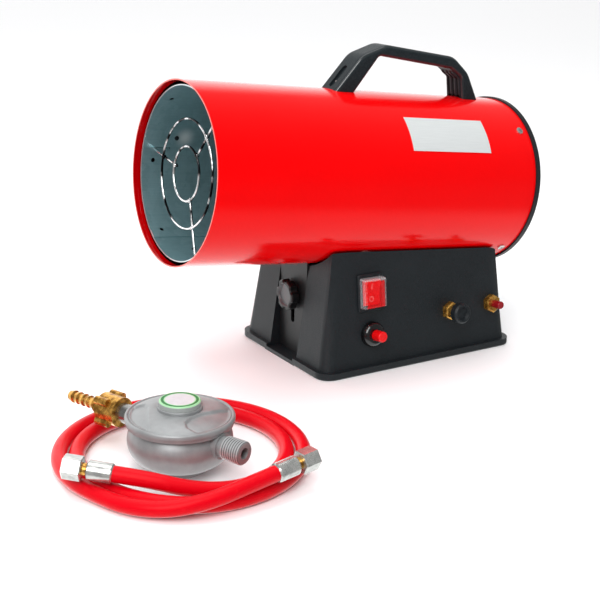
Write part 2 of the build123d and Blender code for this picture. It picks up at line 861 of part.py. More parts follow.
with BuildPart() as handle:
    with BuildSketch(tube_side):
        with BuildLine():
            outer = [handle_point(x, y) for x, y in handle_outer]
            FilletPolyline(*outer, radius=[handle_outer_radius] * (len(outer) - 2))
            Line(outer[0], outer[-1])
        make_face()
    extrude(amount=handle_width / 2, both=True)
    with BuildSketch(tube_side):
        with BuildLine():
            inner = [handle_point(x, y) for x, y in handle_inner]
            FilletPolyline(*inner, radius=[handle_inner_radius] * (len(inner) - 2))
            Line(inner[0], inner[-1])
        make_face()
    extrude(amount=handle_width, both=True, mode=Mode.SUBTRACT)
    rims = handle.faces().filter_by(Axis.Y).edges()
    low = handle.faces().sort_by(lambda face: tube_plane.to_local_coords(face.center()).X)[:2].edges()
    fillet([edge for edge in rims if edge not in low], handle_edge)
    leg_start = Vector(*outer[0])
    leg_end = Vector(*outer[1])
    leg_middle = leg_start + (leg_end - leg_start) * handle_recess_middle
    leg_direction = (leg_end - leg_start).normalized()
    leg_along = tube_back * leg_direction.X + tube_up * leg_direction.Y
    leg_out = tube_up * leg_direction.X - tube_back * leg_direction.Y
    recess_origin = tube_front + tube_back * leg_middle.X + tube_up * leg_middle.Y
    with BuildSketch(Plane(origin=recess_origin, x_dir=leg_along, z_dir=leg_out)):
        SlotOverall(handle_recess_length, handle_recess_width)
    extrude(amount=-handle_recess_depth, mode=Mode.SUBTRACT)
    for number in range(grip_groove_count):
        offset_y = (number - (grip_groove_count - 1) / 2) * grip_groove_pitch
        groove_plane = Plane(
            origin=tube_front + tube_back * inner[-1][0] + tube_up * (handle_foot + handle_sink),
            x_dir=(0, 1, 0),
            z_dir=tube_up,
        )
        with BuildSketch(groove_plane.offset(-handle_sink)):
            with Locations((offset_y, 0)):
                Rectangle(grip_groove_width, 2 * grip_groove_depth)
        extrude(amount=handle_inner[3][1] + handle_sink, mode=Mode.SUBTRACT)
    with BuildSketch(tube_plane):
        Circle(shell_radius)
    extrude(amount=shell_length, mode=Mode.SUBTRACT)
    for place in handle_screw_stations:
        with BuildSketch(radial(place, 0, shell_radius - handle_sink)):
            Circle(handle_screw_radius)
        extrude(amount=handle_screw_depth + handle_sink, mode=Mode.SUBTRACT)
save(handle, "handle")

# Handle screws: driven from inside the shell into the handle's legs.
handle_head_seat = flat_inside(shell_inner, handle_screw_head)
with BuildPart() as handle_screws:
    for place in handle_screw_stations:
        with BuildSketch(radial(place, 0, handle_head_seat)):
            Circle(handle_screw_radius)
        extrude(amount=shell_radius - handle_head_seat + handle_screw_depth)
        with BuildSketch(radial(place, 0, handle_head_seat - handle_screw_head_height)):
            Circle(handle_screw_head)
        extrude(amount=handle_screw_head_height)
save(handle_screws, "handle_screws")

# ================================================================ tilt hinge and clamp
slot_radius = stud_radius + slot_clearance
slot_travel = (pivot_x - bracket_x) * sin(radians(tilt_range))
# Tilt bracket: a plate welded below the shell; its slot slides over the clamp stud.
with BuildPart() as tilt_bracket:
    with BuildSketch(Plane.YZ.offset(bracket_x)):
        with Locations((0, bracket_bottom)):
            Rectangle(2 * bracket_half_width, tube_rear_z, align=(Align.CENTER, Align.MIN))
        with Locations((0, knob_z - slot_travel / 2)):
            SlotCenterToCenter(slot_travel, 2 * slot_radius, rotation=90, mode=Mode.SUBTRACT)
    extrude(amount=bracket_thickness)
    with BuildSketch(tube_plane):
        Circle(shell_radius)
    extrude(amount=shell_length, mode=Mode.SUBTRACT)
save(tilt_bracket, "tilt_bracket")

# Tube lugs: a pair of ears welded below the shell near its rear.
with BuildPart() as tube_lugs:
    for side in (-1, 1):
        inner_face = side * (lug_half_span - lug_thickness)
        with BuildSketch(Plane.XZ.offset(-inner_face)):
            with Locations((pivot_x, pivot_z)):
                Circle(lug_round)
            with Locations((pivot_x, pivot_z)):
                Rectangle(2 * lug_round, lug_length, align=(Align.CENTER, Align.MIN))
        extrude(amount=-side * lug_thickness)
        with BuildSketch(Plane.XZ.offset(-inner_face)):
            with Locations((pivot_x, pivot_z)):
                Circle(pin_radius + running_clearance)
        extrude(amount=-side * lug_thickness, mode=Mode.SUBTRACT)
    with BuildSketch(tube_plane):
        Circle(shell_radius)
    extrude(amount=shell_length, mode=Mode.SUBTRACT)
save(tube_lugs, "tube_lugs")

# Tilt pin: pressed through the two ribs inside the base.
pin_half_length = rib_half_span + rib_thickness
with BuildPart() as tilt_pin:
    with BuildSketch(Plane.XZ.offset(-pin_half_length)):
        with Locations((pivot_x, pivot_z)):
            Circle(pin_radius)
    extrude(amount=2 * pin_half_length)
    with BuildSketch(Plane.XZ.offset(pin_half_length)):
        with Locations((pivot_x, pivot_z)):
            Circle(pin_head_radius)
    extrude(amount=pin_head_length)
save(tilt_pin, "tilt_pin")

# Clamp stud: a shouldered screw through the wall behind the channel.
stud_wall_back = channel_back_x + base_wall
with BuildPart() as clamp_stud:
    with BuildSketch(Plane.YZ.offset(stud_wall_back + stud_head_length)):
        with Locations((0, knob_z)):
            Circle(stud_radius)
    extrude(amount=-(stud_wall_back + stud_head_length - bracket_x + knob_gap + stud_into_knob))
    with BuildSketch(Plane.YZ.offset(stud_wall_back)):
        with Locations((0, knob_z)):
            RegularPolygon(stud_head_radius, 6)
    extrude(amount=stud_head_length)
    with BuildSketch(Plane.YZ.offset(channel_back_x)):
        with Locations((0, knob_z)):
            Circle(stud_spacer_radius)
    extrude(amount=-stud_spacer_length)
save(clamp_stud, "clamp_stud")

# Clamp knob: a lobed head with a dished face on a short hub.
knob_back_x = bracket_x - knob_gap
knob_head_x = knob_back_x - knob_hub_length
with BuildPart() as clamp_knob:
    with BuildSketch(Plane.YZ.offset(knob_head_x)):
        with Locations((0, knob_z)):
            Circle(knob_radius)
            with PolarLocations(knob_radius + knob_lobe_cut / 2, knob_lobes, start_angle=90):
                Circle(knob_lobe_cut, mode=Mode.SUBTRACT)
    extrude(amount=-knob_thickness)
    chamfer(clamp_knob.faces().sort_by(Axis.X)[0].edges(), knob_edge)
    with BuildSketch(Plane.YZ.offset(knob_back_x)):
        with Locations((0, knob_z)):
            Circle(knob_hub_radius)
    extrude(amount=-knob_hub_length)
    with BuildSketch(Plane.YZ.offset(knob_head_x - knob_thickness)):
        with Locations((0, knob_z)):
            Circle(knob_dish_radius)
    extrude(amount=knob_dish_depth, taper=30, mode=Mode.SUBTRACT)
    with BuildSketch(Plane.YZ.offset(knob_back_x)):
        with Locations((0, knob_z)):
            Circle(stud_radius + running_clearance)
    extrude(amount=-stud_into_knob - running_clearance, mode=Mode.SUBTRACT)
save(clamp_knob, "clamp_knob")

# ================================================================ base
# Base housing: a drafted shell with a rim flange, the bracket's channel in front and a saddle on top.
rocker_lift = rocker_half_length * tan(radians(rocker_angle))
window_half_width = rocker_width / 2 + rocker_gap
window_half_height = sqrt(rocker_half_length**2 + (rocker_rise + rocker_lift) ** 2) + slide_clearance
skirt_half_width = window_half_width + frame_skirt_wall
skirt_half_height = window_half_height + frame_skirt_wall
with BuildPart() as base_housing:
    with BuildSketch():
        RectangleRounded(base_length, base_width, base_corner)
    extrude(amount=base_blank_height, taper=base_draft)
    with BuildSketch():
        RectangleRounded(
            base_length + 2 * flange_out, base_width + 2 * flange_out, base_corner + flange_out
        )
    extrude(amount=flange_height)
    fillet(base_housing.edges().group_by(Axis.Z)[0], flange_edge)
    with BuildSketch():
        RectangleRounded(base_length - 2 * base_wall, base_width - 2 * base_wall, base_corner - base_wall)
    extrude(amount=base_blank_height, taper=base_draft, mode=Mode.SUBTRACT)
    # channel walls, kept inside the blank
    with BuildSketch():
        with Locations((channel_back_x + base_wall, 0)):
            Rectangle(
                base_length / 4, 2 * (channel_half_width + base_wall), align=(Align.MAX, Align.CENTER)
            )
    extrude(amount=base_blank_height)
    # ribs for the tilt pin, and the screw bosses in the corners
    with BuildSketch(Plane.XY.offset(plate_thickness)):
        with Locations((pivot_x, 0)):
            with GridLocations(0, 2 * rib_half_span + rib_thickness, 1, 2):
                Rectangle(rib_length, rib_thickness)
    extrude(amount=pivot_z + rib_above_pin - plate_thickness)
    with BuildSketch(Plane.XY.offset(plate_thickness)):
        with GridLocations(2 * boss_x, 2 * boss_y, 2, 2):
            Circle(boss_radius)
    extrude(amount=boss_height)
    # everything that stands outside the drafted outline is trimmed away
    with BuildSketch():
        Rectangle(2 * base_length, 2 * base_width)
        RectangleRounded(
            base_length + 2 * flange_out,
            base_width + 2 * flange_out,
            base_corner + flange_out,
            mode=Mode.SUBTRACT,
        )
    extrude(amount=base_blank_height, mode=Mode.SUBTRACT)
    with BuildSketch(Plane.XY.offset(flange_height)):
        Rectangle(2 * base_length, 2 * base_width)
        RectangleRounded(
            base_length - 2 * flange_height * tan(radians(base_draft)),
            base_width - 2 * flange_height * tan(radians(base_draft)),
            base_corner,
            mode=Mode.SUBTRACT,
        )
    extrude(amount=base_blank_height, taper=-base_draft, mode=Mode.SUBTRACT)
    # the channel itself, open in front and above, with a low sill that ties the two feet together
    with BuildSketch(Plane.XY.offset(channel_sill)):
        with Locations((channel_back_x, 0)):
            Rectangle(base_length / 4, 2 * channel_half_width, align=(Align.MAX, Align.CENTER))
    extrude(amount=base_blank_height, mode=Mode.SUBTRACT)
    # the saddle under the tube
    with BuildSketch(tube_plane):
        Circle(shell_radius + saddle_gap)
    extrude(amount=shell_length + trim_depth, mode=Mode.SUBTRACT)
    # holes for the controls
    with BuildSketch(wall_plane(switch_x, switch_z, base_wall)):
        Rectangle(2 * (skirt_half_width + slide_clearance), 2 * (skirt_half_height + slide_clearance))
    extrude(amount=-3 * base_wall, mode=Mode.SUBTRACT)
    for hole_x, hole_z, hole_radius in (
        (igniter_x, igniter_z, igniter_body_radius),
        (valve_x, gas_z, plug_radius),
        (inlet_x, gas_z, inlet_body_radius),
    ):
        with BuildSketch(wall_plane(hole_x, hole_z, base_wall)):
            Circle(hole_radius)
        extrude(amount=-3 * base_wall, mode=Mode.SUBTRACT)
    with BuildSketch(rear_plane(gland_y, gland_z, base_wall)):
        Circle(gland_thread_radius)
    extrude(amount=-3 * base_wall, mode=Mode.SUBTRACT)
    with BuildSketch(Plane.XZ.offset(-pin_half_length)):
        with Locations((pivot_x, pivot_z)):
            Circle(pin_radius)
    extrude(amount=2 * pin_half_length, mode=Mode.SUBTRACT)
    with BuildSketch(Plane.YZ.offset(channel_back_x - base_wall)):
        with Locations((0, knob_z)):
            Circle(stud_radius)
    extrude(amount=3 * base_wall, mode=Mode.SUBTRACT)
    with BuildSketch(Plane.XY.offset(plate_thickness)):
        with GridLocations(2 * boss_x, 2 * boss_y, 2, 2):
            Circle(boss_pilot)
    extrude(amount=bottom_screw_length, mode=Mode.SUBTRACT)
save(base_housing, "base_housing")

# Bottom plate: sheet steel let into the rim, notched for the channel, with vent slots and screw holes.
with BuildPart() as bottom_plate:
    with BuildSketch():
        RectangleRounded(
            base_length - 2 * plate_margin, base_width - 2 * plate_margin, base_corner - base_wall
        )
        with Locations((channel_back_x + plate_margin, 0)):
            Rectangle(
                base_length / 4,
                2 * (channel_half_width + plate_margin),
                align=(Align.MAX, Align.CENTER),
                mode=Mode.SUBTRACT,
            )
        with GridLocations(0, vent_slot_pitch, 1, vent_slot_count):
            SlotOverall(vent_slot_length, vent_slot_width, mode=Mode.SUBTRACT)
        with GridLocations(2 * boss_x, 2 * boss_y, 2, 2):
            Circle(boss_pilot, mode=Mode.SUBTRACT)
    extrude(amount=plate_thickness)
    with BuildSketch():
        with GridLocations(2 * boss_x, 2 * boss_y, 2, 2):
            Circle(bottom_screw_head)
    extrude(amount=bottom_screw_sink, mode=Mode.SUBTRACT)
save(bottom_plate, "bottom_plate")

# Bottom screws: their heads lie flush in the plate and their shanks are driven into the bosses.
with BuildPart() as bottom_screws:
    with BuildSketch():
        with GridLocations(2 * boss_x, 2 * boss_y, 2, 2):
            Circle(bottom_screw_head)
    extrude(amount=bottom_screw_sink)
    with BuildSketch():
        with GridLocations(2 * boss_x, 2 * boss_y, 2, 2):
            Circle(boss_pilot)
    extrude(amount=bottom_screw_length)
save(bottom_screws, "bottom_screws")

# ================================================================ switch
# Switch frame: a bezel on the wall whose skirt passes through it, with bearings for the rocker's pins.
switch_plane = wall_plane(switch_x, switch_z)
switch_face = wall_plane(switch_x, switch_z, frame_thickness)
switch_skirt = wall_plane(switch_x, switch_z, -frame_skirt)
rocker_plane = wall_plane(switch_x, switch_z, frame_thickness - rocker_rise)
rocker_side = Plane(origin=rocker_plane.origin, x_dir=rocker_plane.y_dir, z_dir=(1, 0, 0))
pin_reach = window_half_width + rocker_pin_in_frame
with BuildPart() as switch_frame:
    with BuildSketch(switch_plane):
        RectangleRounded(frame_width, frame_height, frame_thickness)
    extrude(amount=frame_thickness)
    chamfer(switch_frame.faces().sort_by(Axis.Y)[0].edges(), frame_thickness / 3)
    with BuildSketch(switch_plane):
        Rectangle(2 * skirt_half_width, 2 * skirt_half_height)
    extrude(amount=-frame_skirt)
    with BuildSketch(switch_face):
        Rectangle(2 * window_half_width, 2 * window_half_height)
    extrude(amount=-frame_thickness - frame_skirt, mode=Mode.SUBTRACT)
    with BuildSketch(rocker_side):
        Circle(rocker_pin_radius + running_clearance)
    extrude(amount=pin_reach, both=True, mode=Mode.SUBTRACT)
save(switch_frame, "switch_frame")

# Rocker: a shallow V on two short pins; its lower half lies level while its upper half stands proud.
with BuildPart() as rocker:
    with BuildSketch(rocker_side):
        with BuildLine():
            Polyline(
                (-rocker_half_length, rocker_rise),
                (0, rocker_rise),
                (rocker_half_length, rocker_rise + rocker_lift),
                (rocker_half_length, -rocker_depth),
                (-rocker_half_length, -rocker_depth),
                close=True,
            )
        make_face()
    extrude(amount=rocker_width / 2, both=True)
    with BuildSketch(rocker_side):
        Circle(rocker_pin_radius)
    extrude(amount=pin_reach - running_clearance, both=True)
save(rocker, "rocker")

# Rocker cover: a clear splash boot glued on the bezel over the rocker.
with BuildPart() as rocker_cover:
    with BuildSketch(switch_face):
        RectangleRounded(2 * cover_half_width, 2 * cover_half_height, cover_edge)
    extrude(amount=cover_height, taper=cover_draft)
    fillet(rocker_cover.faces().sort_by(Axis.Y)[0].edges(), cover_edge)
    with BuildSketch(switch_face):
        RectangleRounded(
            2 * (cover_half_width - cover_wall), 2 * (cover_half_height - cover_wall), cover_wall
        )
    extrude(amount=cover_height - cover_wall, taper=cover_draft, mode=Mode.SUBTRACT)
save(rocker_cover, "rocker_cover")

# Switch body: the contact block behind the skirt, with blade terminals.
with BuildPart() as switch_body:
    with BuildSketch(switch_skirt):
        Rectangle(2 * skirt_half_width, 2 * skirt_half_height)
    extrude(amount=-switch_body_depth)
    with BuildSketch(wall_plane(switch_x, switch_z, -frame_skirt - switch_body_depth)):
        with GridLocations(terminal_pitch, terminal_row_pitch, 2, 2):
            Rectangle(terminal_thickness, terminal_width)
    extrude(amount=-terminal_length)
save(switch_body, "switch_body")

# ================================================================ igniter
# Igniter collar: a domed nut round the button.
button_bore = igniter_button_radius + slide_clearance
igniter_plane = wall_plane(igniter_x, igniter_z)
with BuildPart() as igniter_collar:
    with BuildSketch(wall_section(igniter_plane)):
        with BuildLine():
            Polyline(
                (collar_top_radius, collar_height),
                (button_bore, collar_height),
                (button_bore, 0),
                (collar_base_radius, 0),
                (collar_base_radius, collar_step),
            )
            TangentArc(
                (collar_base_radius, collar_step), (collar_top_radius, collar_height), tangent=(0, 1)
            )
        make_face()
    revolve(axis=Axis(igniter_plane.origin, igniter_plane.z_dir))
save(igniter_collar, "igniter_collar")

# Igniter body: the piezo case through the wall, bored for the button.
with BuildPart() as igniter_body:
    with BuildSketch(igniter_plane):
        Circle(igniter_body_radius)
    extrude(amount=-igniter_body_depth)
    with BuildSketch(igniter_plane):
        Circle(button_bore)
    extrude(amount=-igniter_button_inside - igniter_travel - base_wall, mode=Mode.SUBTRACT)
    with BuildSketch(wall_plane(igniter_x, igniter_z, -igniter_body_depth)):
        Circle(screw_shank_radius)
    extrude(amount=-terminal_length)
save(igniter_body, "igniter_body")

# Igniter button: pushed in against a spring to strike the spark.
with BuildPart() as igniter_button:
    with BuildSketch(wall_plane(igniter_x, igniter_z, -igniter_button_inside)):
        Circle(igniter_button_radius)
    extrude(amount=igniter_button_inside + igniter_button_reach)
    fillet(igniter_button.edges().sort_by(Axis.Y)[0], igniter_button_edge)
save(igniter_button, "igniter_button")

# ================================================================ gas valve and inlet
# Valve nut: the hexagon that holds the valve to the wall.
stem_bore = valve_stem_radius + slide_clearance
valve_plane = wall_plane(valve_x, gas_z)
with BuildPart() as valve_nut:
    with BuildSketch(valve_plane):
        RegularPolygon(gas_hex / 2, 6, major_radius=False, rotation=30)
        Circle(stem_bore, mode=Mode.SUBTRACT)
    extrude(amount=gas_hex_length)
    chamfer(valve_nut.faces().sort_by(Axis.Y)[0].outer_wire().edges(), gas_hex_chamfer)
save(valve_nut, "valve_nut")

# Valve body: a brass barrel behind the wall with a neck through it and a boss for the supply pipe.
pipe_seat = wall_plane(valve_x, gas_z, -supply_depth)
with BuildPart() as valve_body:
    with BuildSketch(wall_plane(valve_x, gas_z, -base_wall)):
        Circle(valve_body_radius)
    extrude(amount=-valve_body_depth)
    with BuildSketch(valve_plane):
        Circle(plug_radius)
    extrude(amount=-base_wall)
    with BuildSketch(Plane(origin=pipe_seat.origin, z_dir=(1, 0, 0))):
        Circle(valve_boss_radius)
    extrude(amount=valve_boss_reach)
    with BuildSketch(valve_plane):
        Circle(stem_bore)
    extrude(amount=-valve_stem_inside - valve_travel - base_wall, mode=Mode.SUBTRACT)
save(valve_body, "valve_body")

# Valve knob: a dished button on a stem, held in to light the burner.
with BuildPart() as valve_knob:
    with BuildSketch(wall_section(valve_plane)):
        with BuildLine():
            Polyline(
                (0, -valve_stem_inside),
                (valve_stem_radius, -valve_stem_inside),
                (valve_stem_radius, valve_knob_back),
                (valve_knob_radius - valve_knob_back_edge, valve_knob_back),
                (valve_knob_radius, valve_knob_back + valve_knob_back_edge),
                (valve_knob_radius, valve_knob_front - valve_knob_edge),
                (valve_knob_radius - valve_knob_edge, valve_knob_front),
                (valve_knob_dish_radius, valve_knob_front),
                (valve_knob_dish_radius - valve_knob_edge, valve_knob_front - valve_knob_dish),
                (0, valve_knob_front - valve_knob_dish),
                close=True,
            )
        make_face()
    revolve(axis=Axis(valve_plane.origin, valve_plane.z_dir))
save(valve_knob, "valve_knob")

# Gas inlet: a hexagon with a bored nipple outside and a threaded body inside.
inlet_plane = wall_plane(inlet_x, gas_z)
with BuildPart() as inlet_fitting:
    with BuildSketch(inlet_plane):
        RegularPolygon(gas_hex / 2, 6, major_radius=False, rotation=30)
    extrude(amount=gas_hex_length)
    chamfer(inlet_fitting.faces().sort_by(Axis.Y)[0].outer_wire().edges(), gas_hex_chamfer)
    with BuildSketch(inlet_plane):
        Circle(inlet_body_radius)
    extrude(amount=-inlet_body_depth)
    with BuildSketch(inlet_plane):
        Circle(inlet_nipple_radius)
    extrude(amount=inlet_nipple_reach)
    with BuildSketch(wall_plane(inlet_x, gas_z, inlet_nipple_reach)):
        Circle(inlet_bore_radius)
    extrude(amount=-inlet_nipple_reach - inlet_body_depth / 2, mode=Mode.SUBTRACT)
save(inlet_fitting, "inlet_fitting")

# Inlet cap: a soft dust cap pushed over the nipple.
with BuildPart() as inlet_cap:
    with BuildSketch(wall_plane(inlet_x, gas_z, gas_hex_length + cap_gap)):
        Circle(cap_radius)
    extrude(amount=cap_reach - gas_hex_length - cap_gap)
    fillet(inlet_cap.edges().sort_by(Axis.Y)[0], cap_dome)
    with BuildSketch(inlet_plane):
        Circle(inlet_nipple_radius + running_clearance)
    extrude(amount=inlet_nipple_reach + cap_gap, mode=Mode.SUBTRACT)
save(inlet_cap, "inlet_cap")

# Supply pipe: copper, from the inlet to the valve inside the base.
inlet_back = wall_plane(inlet_x, gas_z, -inlet_body_depth).origin
inlet_turn = wall_plane(inlet_x, gas_z, -supply_depth).origin
with BuildPart() as supply_pipe:
    with BuildLine() as supply_path:
        FilletPolyline(
            inlet_back,
            inlet_turn,
            pipe_seat.origin + Vector(valve_boss_reach, 0, 0),
            radius=supply_bend,
        )
    with BuildSketch(Plane(origin=supply_path.line @ 0, z_dir=supply_path.line % 0)):
        Circle(pipe_radius)
    sweep(path=supply_path.line)
save(supply_pipe, "supply_pipe")

# ================================================================ electrics in the base
# Cable gland: a hexagon and a dome on the rear wall, bored for the mains cable.
with BuildPart() as cable_gland:
    with BuildSketch(rear_plane(gland_y, gland_z)):
        RegularPolygon(gland_hex / 2, 6, major_radius=False)
    extrude(amount=gland_hex_length)
    with BuildSketch(rear_plane(gland_y, gland_z, gland_hex_length)):
        Circle(gland_dome_radius)
    extrude(amount=gland_dome_length, taper=gland_dome_draft)
    with BuildSketch(rear_plane(gland_y, gland_z)):
        Circle(gland_thread_radius)
    extrude(amount=-gland_thread_length)
    with BuildSketch(rear_plane(gland_y, gland_z, -gland_thread_length)):
        Circle(gland_bore_radius)
    extrude(amount=gland_thread_length + gland_hex_length + gland_dome_length, mode=Mode.SUBTRACT)
save(cable_gland, "cable_gland")

# Terminal block: screwed down on the bottom plate, one way for each core.
with BuildPart() as terminal_block:
    with BuildSketch(Plane.XY.offset(plate_thickness)):
        with Locations((block_x, block_y)):
            Rectangle(block_length, block_width)
    extrude(amount=block_height)
    with BuildSketch(Plane.XY.offset(plate_thickness + block_height)):
        with Locations((block_x, block_y)):
            with GridLocations(block_length / block_ways, block_width / 2, block_ways, 2):
                Circle(block_screw_radius)
    extrude(amount=-block_screw_depth, mode=Mode.SUBTRACT)
save(terminal_block, "terminal_block")

# ================================================================ hose
set_plane = Plane(origin=(set_x, set_y, 0), x_dir=(cos(radians(set_turn)), sin(radians(set_turn)), 0))


def set_point(x, y, z):
    """Point of the gas set's own floor plan, in the model's frame."""
    return set_plane.from_local_coords(Vector(x, y, z))


# Coil: the outer shape of the turns that lie side by side on the floor.
coil_inner = coil_strand_radius - hose_radius
coil_outer = coil_strand_radius + coil_pitch + hose_radius
with BuildPart() as hose_coil:
    with BuildSketch(set_plane):
        Circle(coil_outer)
        Circle(coil_inner, mode=Mode.SUBTRACT)
    extrude(amount=2 * hose_radius)
    fillet(hose_coil.edges().filter_by(GeomType.CIRCLE), coil_edge)
save(hose_coil, "hose_coil")

# The two ends of the hose, each a hand-laid route from the coil to its fitting.
hose_start_route = (
    (70.0, -50.0, 6.5),
    (44.0, -69.0, 6.6),
    (14.0, -78.0, 10.8),
    (-16.0, -79.5, 18.9),
    (-44.0, -76.0, 21.3),
)
hose_end_route = (
    (-56.8, -81.1, 6.5),
    (-30.6, -99.9, 6.6),
    (0.5, -107.0, 8.6),
    (31.0, -101.4, 13.8),
    (56.1, -86.4, 18.9),
    (77.7, -67.6, 20.9),
)


def hose_radii(route):
    """Largest arc for each corner: 0.45 of its shorter run over the tangent of half the turn."""
    points = [Vector(*place) for place in route]
    radii = []
    for before, here, after in zip(points, points[1:], points[2:]):
        first_run = here - before
        second_run = after - here
        half_turn = radians(first_run.get_angle(second_run)) / 2
        radii.append(bend_share * min(first_run.length, second_run.length) / tan(half_turn))
    return radii


for route_name, route in (("hose_start", hose_start_route), ("hose_end", hose_end_route)):
    route_radii = hose_radii(route)
    print(route_name, "radii", [round(value, 1) for value in route_radii])
    with BuildPart() as hose_piece:
        with BuildLine() as hose_path:
            FilletPolyline(*[set_point(*place) for place in route], radius=route_radii)
        with BuildSketch(Plane(origin=hose_path.line @ 0, z_dir=hose_path.line % 0)):
            Circle(hose_radius)
        sweep(path=hose_path.line)
    swept = pi * hose_radius**2 * sum(edge.length for edge in hose_path.edges())
    print(route_name, "volume ratio", round(hose_piece.part.volume / swept, 4))
    save(hose_piece, route_name)

# Fittings on both ends: a crimped ferrule, the nipple inside it and the swivel nut.
nut_start = ferrule_length + nipple_gap
for end_name, route in (("a", hose_start_route), ("b", hose_end_route)):
    exit_point = set_point(*route[-1])
    fitting_plane = Plane(
        origin=exit_point, x_dir=(0, 0, 1), z_dir=(exit_point - set_point(*route[-2])).normalized()
    )
    with BuildPart() as ferrule:
        with BuildSketch(fitting_plane):
            Circle(ferrule_radius)
        extrude(amount=ferrule_length)
        chamfer(ferrule.edges().filter_by(GeomType.CIRCLE), ferrule_edge)
    save(ferrule, f"ferrule_{end_name}")
    with BuildPart() as hose_nipple:
        with BuildSketch(fitting_plane.offset(ferrule_length)):
            Circle(nipple_radius)
            Circle(nipple_bore, mode=Mode.SUBTRACT)
        extrude(amount=nipple_gap + nipple_inside)
    save(hose_nipple, f"hose_nipple_{end_name}")
    with BuildPart() as hose_nut:
        with BuildSketch(fitting_plane.offset(nut_start)):
            RegularPolygon(fitting_hex / 2, 6, major_radius=False, rotation=30)
        extrude(amount=fitting_nut_length)
        chamfer(hose_nut.faces().filter_by(Axis(exit_point, fitting_plane.z_dir)).edges(), nut_edge)
        with BuildSketch(fitting_plane.offset(nut_start)):
            Circle(nipple_radius + running_clearance)
        extrude(amount=fitting_nut_length, mode=Mode.SUBTRACT)
        with BuildSketch(fitting_plane.offset(nut_start + nipple_inside)):
            Circle(fitting_hex / 2 - fitting_nut_lip)
        extrude(amount=fitting_nut_length - nipple_inside, mode=Mode.SUBTRACT)
    save(hose_nut, f"hose_nut_{end_name}")

# ================================================================ regulator
reg_centre = set_point(0, regulator_y, 0)
inlet_angle = set_turn + regulator_turn
inlet_direction = Vector(cos(radians(inlet_angle)), sin(radians(inlet_angle)), 0)
reg_side = Plane(origin=reg_centre, x_dir=inlet_direction, z_dir=inlet_direction.cross(Vector(0, 0, 1)))
reg_axis = Axis(reg_centre, (0, 0, 1))
port_centre = reg_centre + Vector(0, 0, port_height)
port_axis = Axis(port_centre, inlet_direction)


def port(distance, way=1):
    """Plane square to the regulator's ports, with way 1 towards the cylinder and -1 towards the hose."""
    return Plane(origin=port_centre + inlet_direction * way * distance, z_dir=inlet_direction * way)


# Regulator body: a die-cast bowl with its flange, both port bosses and the outlet's threaded stub.
cover_seat = regulator_flange_z + regulator_flange_thickness
with BuildPart() as regulator_body:
    with BuildSketch(reg_side):
        with BuildLine():
            Polyline(
                (regulator_bowl_radius, regulator_flange_z),
                (regulator_flange_radius, regulator_flange_z),
                (regulator_flange_radius, cover_seat),
                (0, cover_seat),
                (0, 0),
                (regulator_hub_radius, 0),
                (regulator_hub_radius, regulator_foot),
            )
            TangentArc(
                (regulator_hub_radius, regulator_foot),
                (regulator_bowl_radius, regulator_flange_z),
                tangent=(1, 0),
            )
        make_face()
    revolve(axis=reg_axis)
    with BuildSketch(port(0)):
        Circle(outlet_boss_radius)
    extrude(amount=inlet_stub_start)
    with BuildSketch(port(0, -1)):
        Circle(outlet_boss_radius)
    extrude(amount=outlet_boss_end)
    with BuildSketch(port(0, -1)):
        Circle(outlet_stub_radius)
    extrude(amount=outlet_stub_end)
    with BuildSketch(port(outlet_stub_end, -1)):
        Circle(outlet_bore)
    extrude(amount=-outlet_bore_depth, mode=Mode.SUBTRACT)
save(regulator_body, "regulator_body")

# Regulator cover: a pressed dome with a rolled rim and a neck for the cap.
rim_top = cover_seat + cover_rim_height
dome_top = cover_seat + cover_dome_height
neck_top = dome_top + cover_boss_height
with BuildPart() as regulator_cover:
    with BuildSketch(reg_side):
        with BuildLine():
            TangentArc(
                (cover_boss_radius, dome_top), (cover_rim_radius - cover_rim_width, rim_top), tangent=(1, 0)
            )
            Polyline(
                (cover_rim_radius - cover_rim_width, rim_top),
                (cover_rim_radius - cover_rim_edge, rim_top),
                (cover_rim_radius, rim_top - cover_rim_edge),
                (cover_rim_radius, cover_seat),
                (cover_bore_radius, cover_seat),
                (cover_bore_radius, neck_top),
                (cover_boss_radius, neck_top),
                (cover_boss_radius, dome_top),
            )
        make_face()
    revolve(axis=reg_axis)
save(regulator_cover, "regulator_cover")

# Regulator cap: a plastic plug over the adjusting spring.
with BuildPart() as regulator_cap:
    with BuildSketch(Plane.XY.offset(neck_top)):
        with Locations((reg_centre.X, reg_centre.Y)):
            Circle(cap_disc_radius)
    extrude(amount=cap_disc_height)
    chamfer(regulator_cap.edges().group_by(Axis.Z)[-1], cap_disc_edge)
    with BuildSketch(Plane.XY.offset(neck_top)):
        with Locations((reg_centre.X, reg_centre.Y)):
            Circle(cover_bore_radius)
    extrude(amount=-cap_thread_length)
save(regulator_cap, "regulator_cap")

# Inlet stub: a steel tube screwed in the body, which the union nut turns on.
with BuildPart() as inlet_stub:
    with BuildSketch(port(inlet_stub_start)):
        Circle(inlet_stub_radius)
        Circle(inlet_stub_bore, mode=Mode.SUBTRACT)
    extrude(amount=inlet_stub_end - inlet_stub_start)
save(inlet_stub, "inlet_stub")

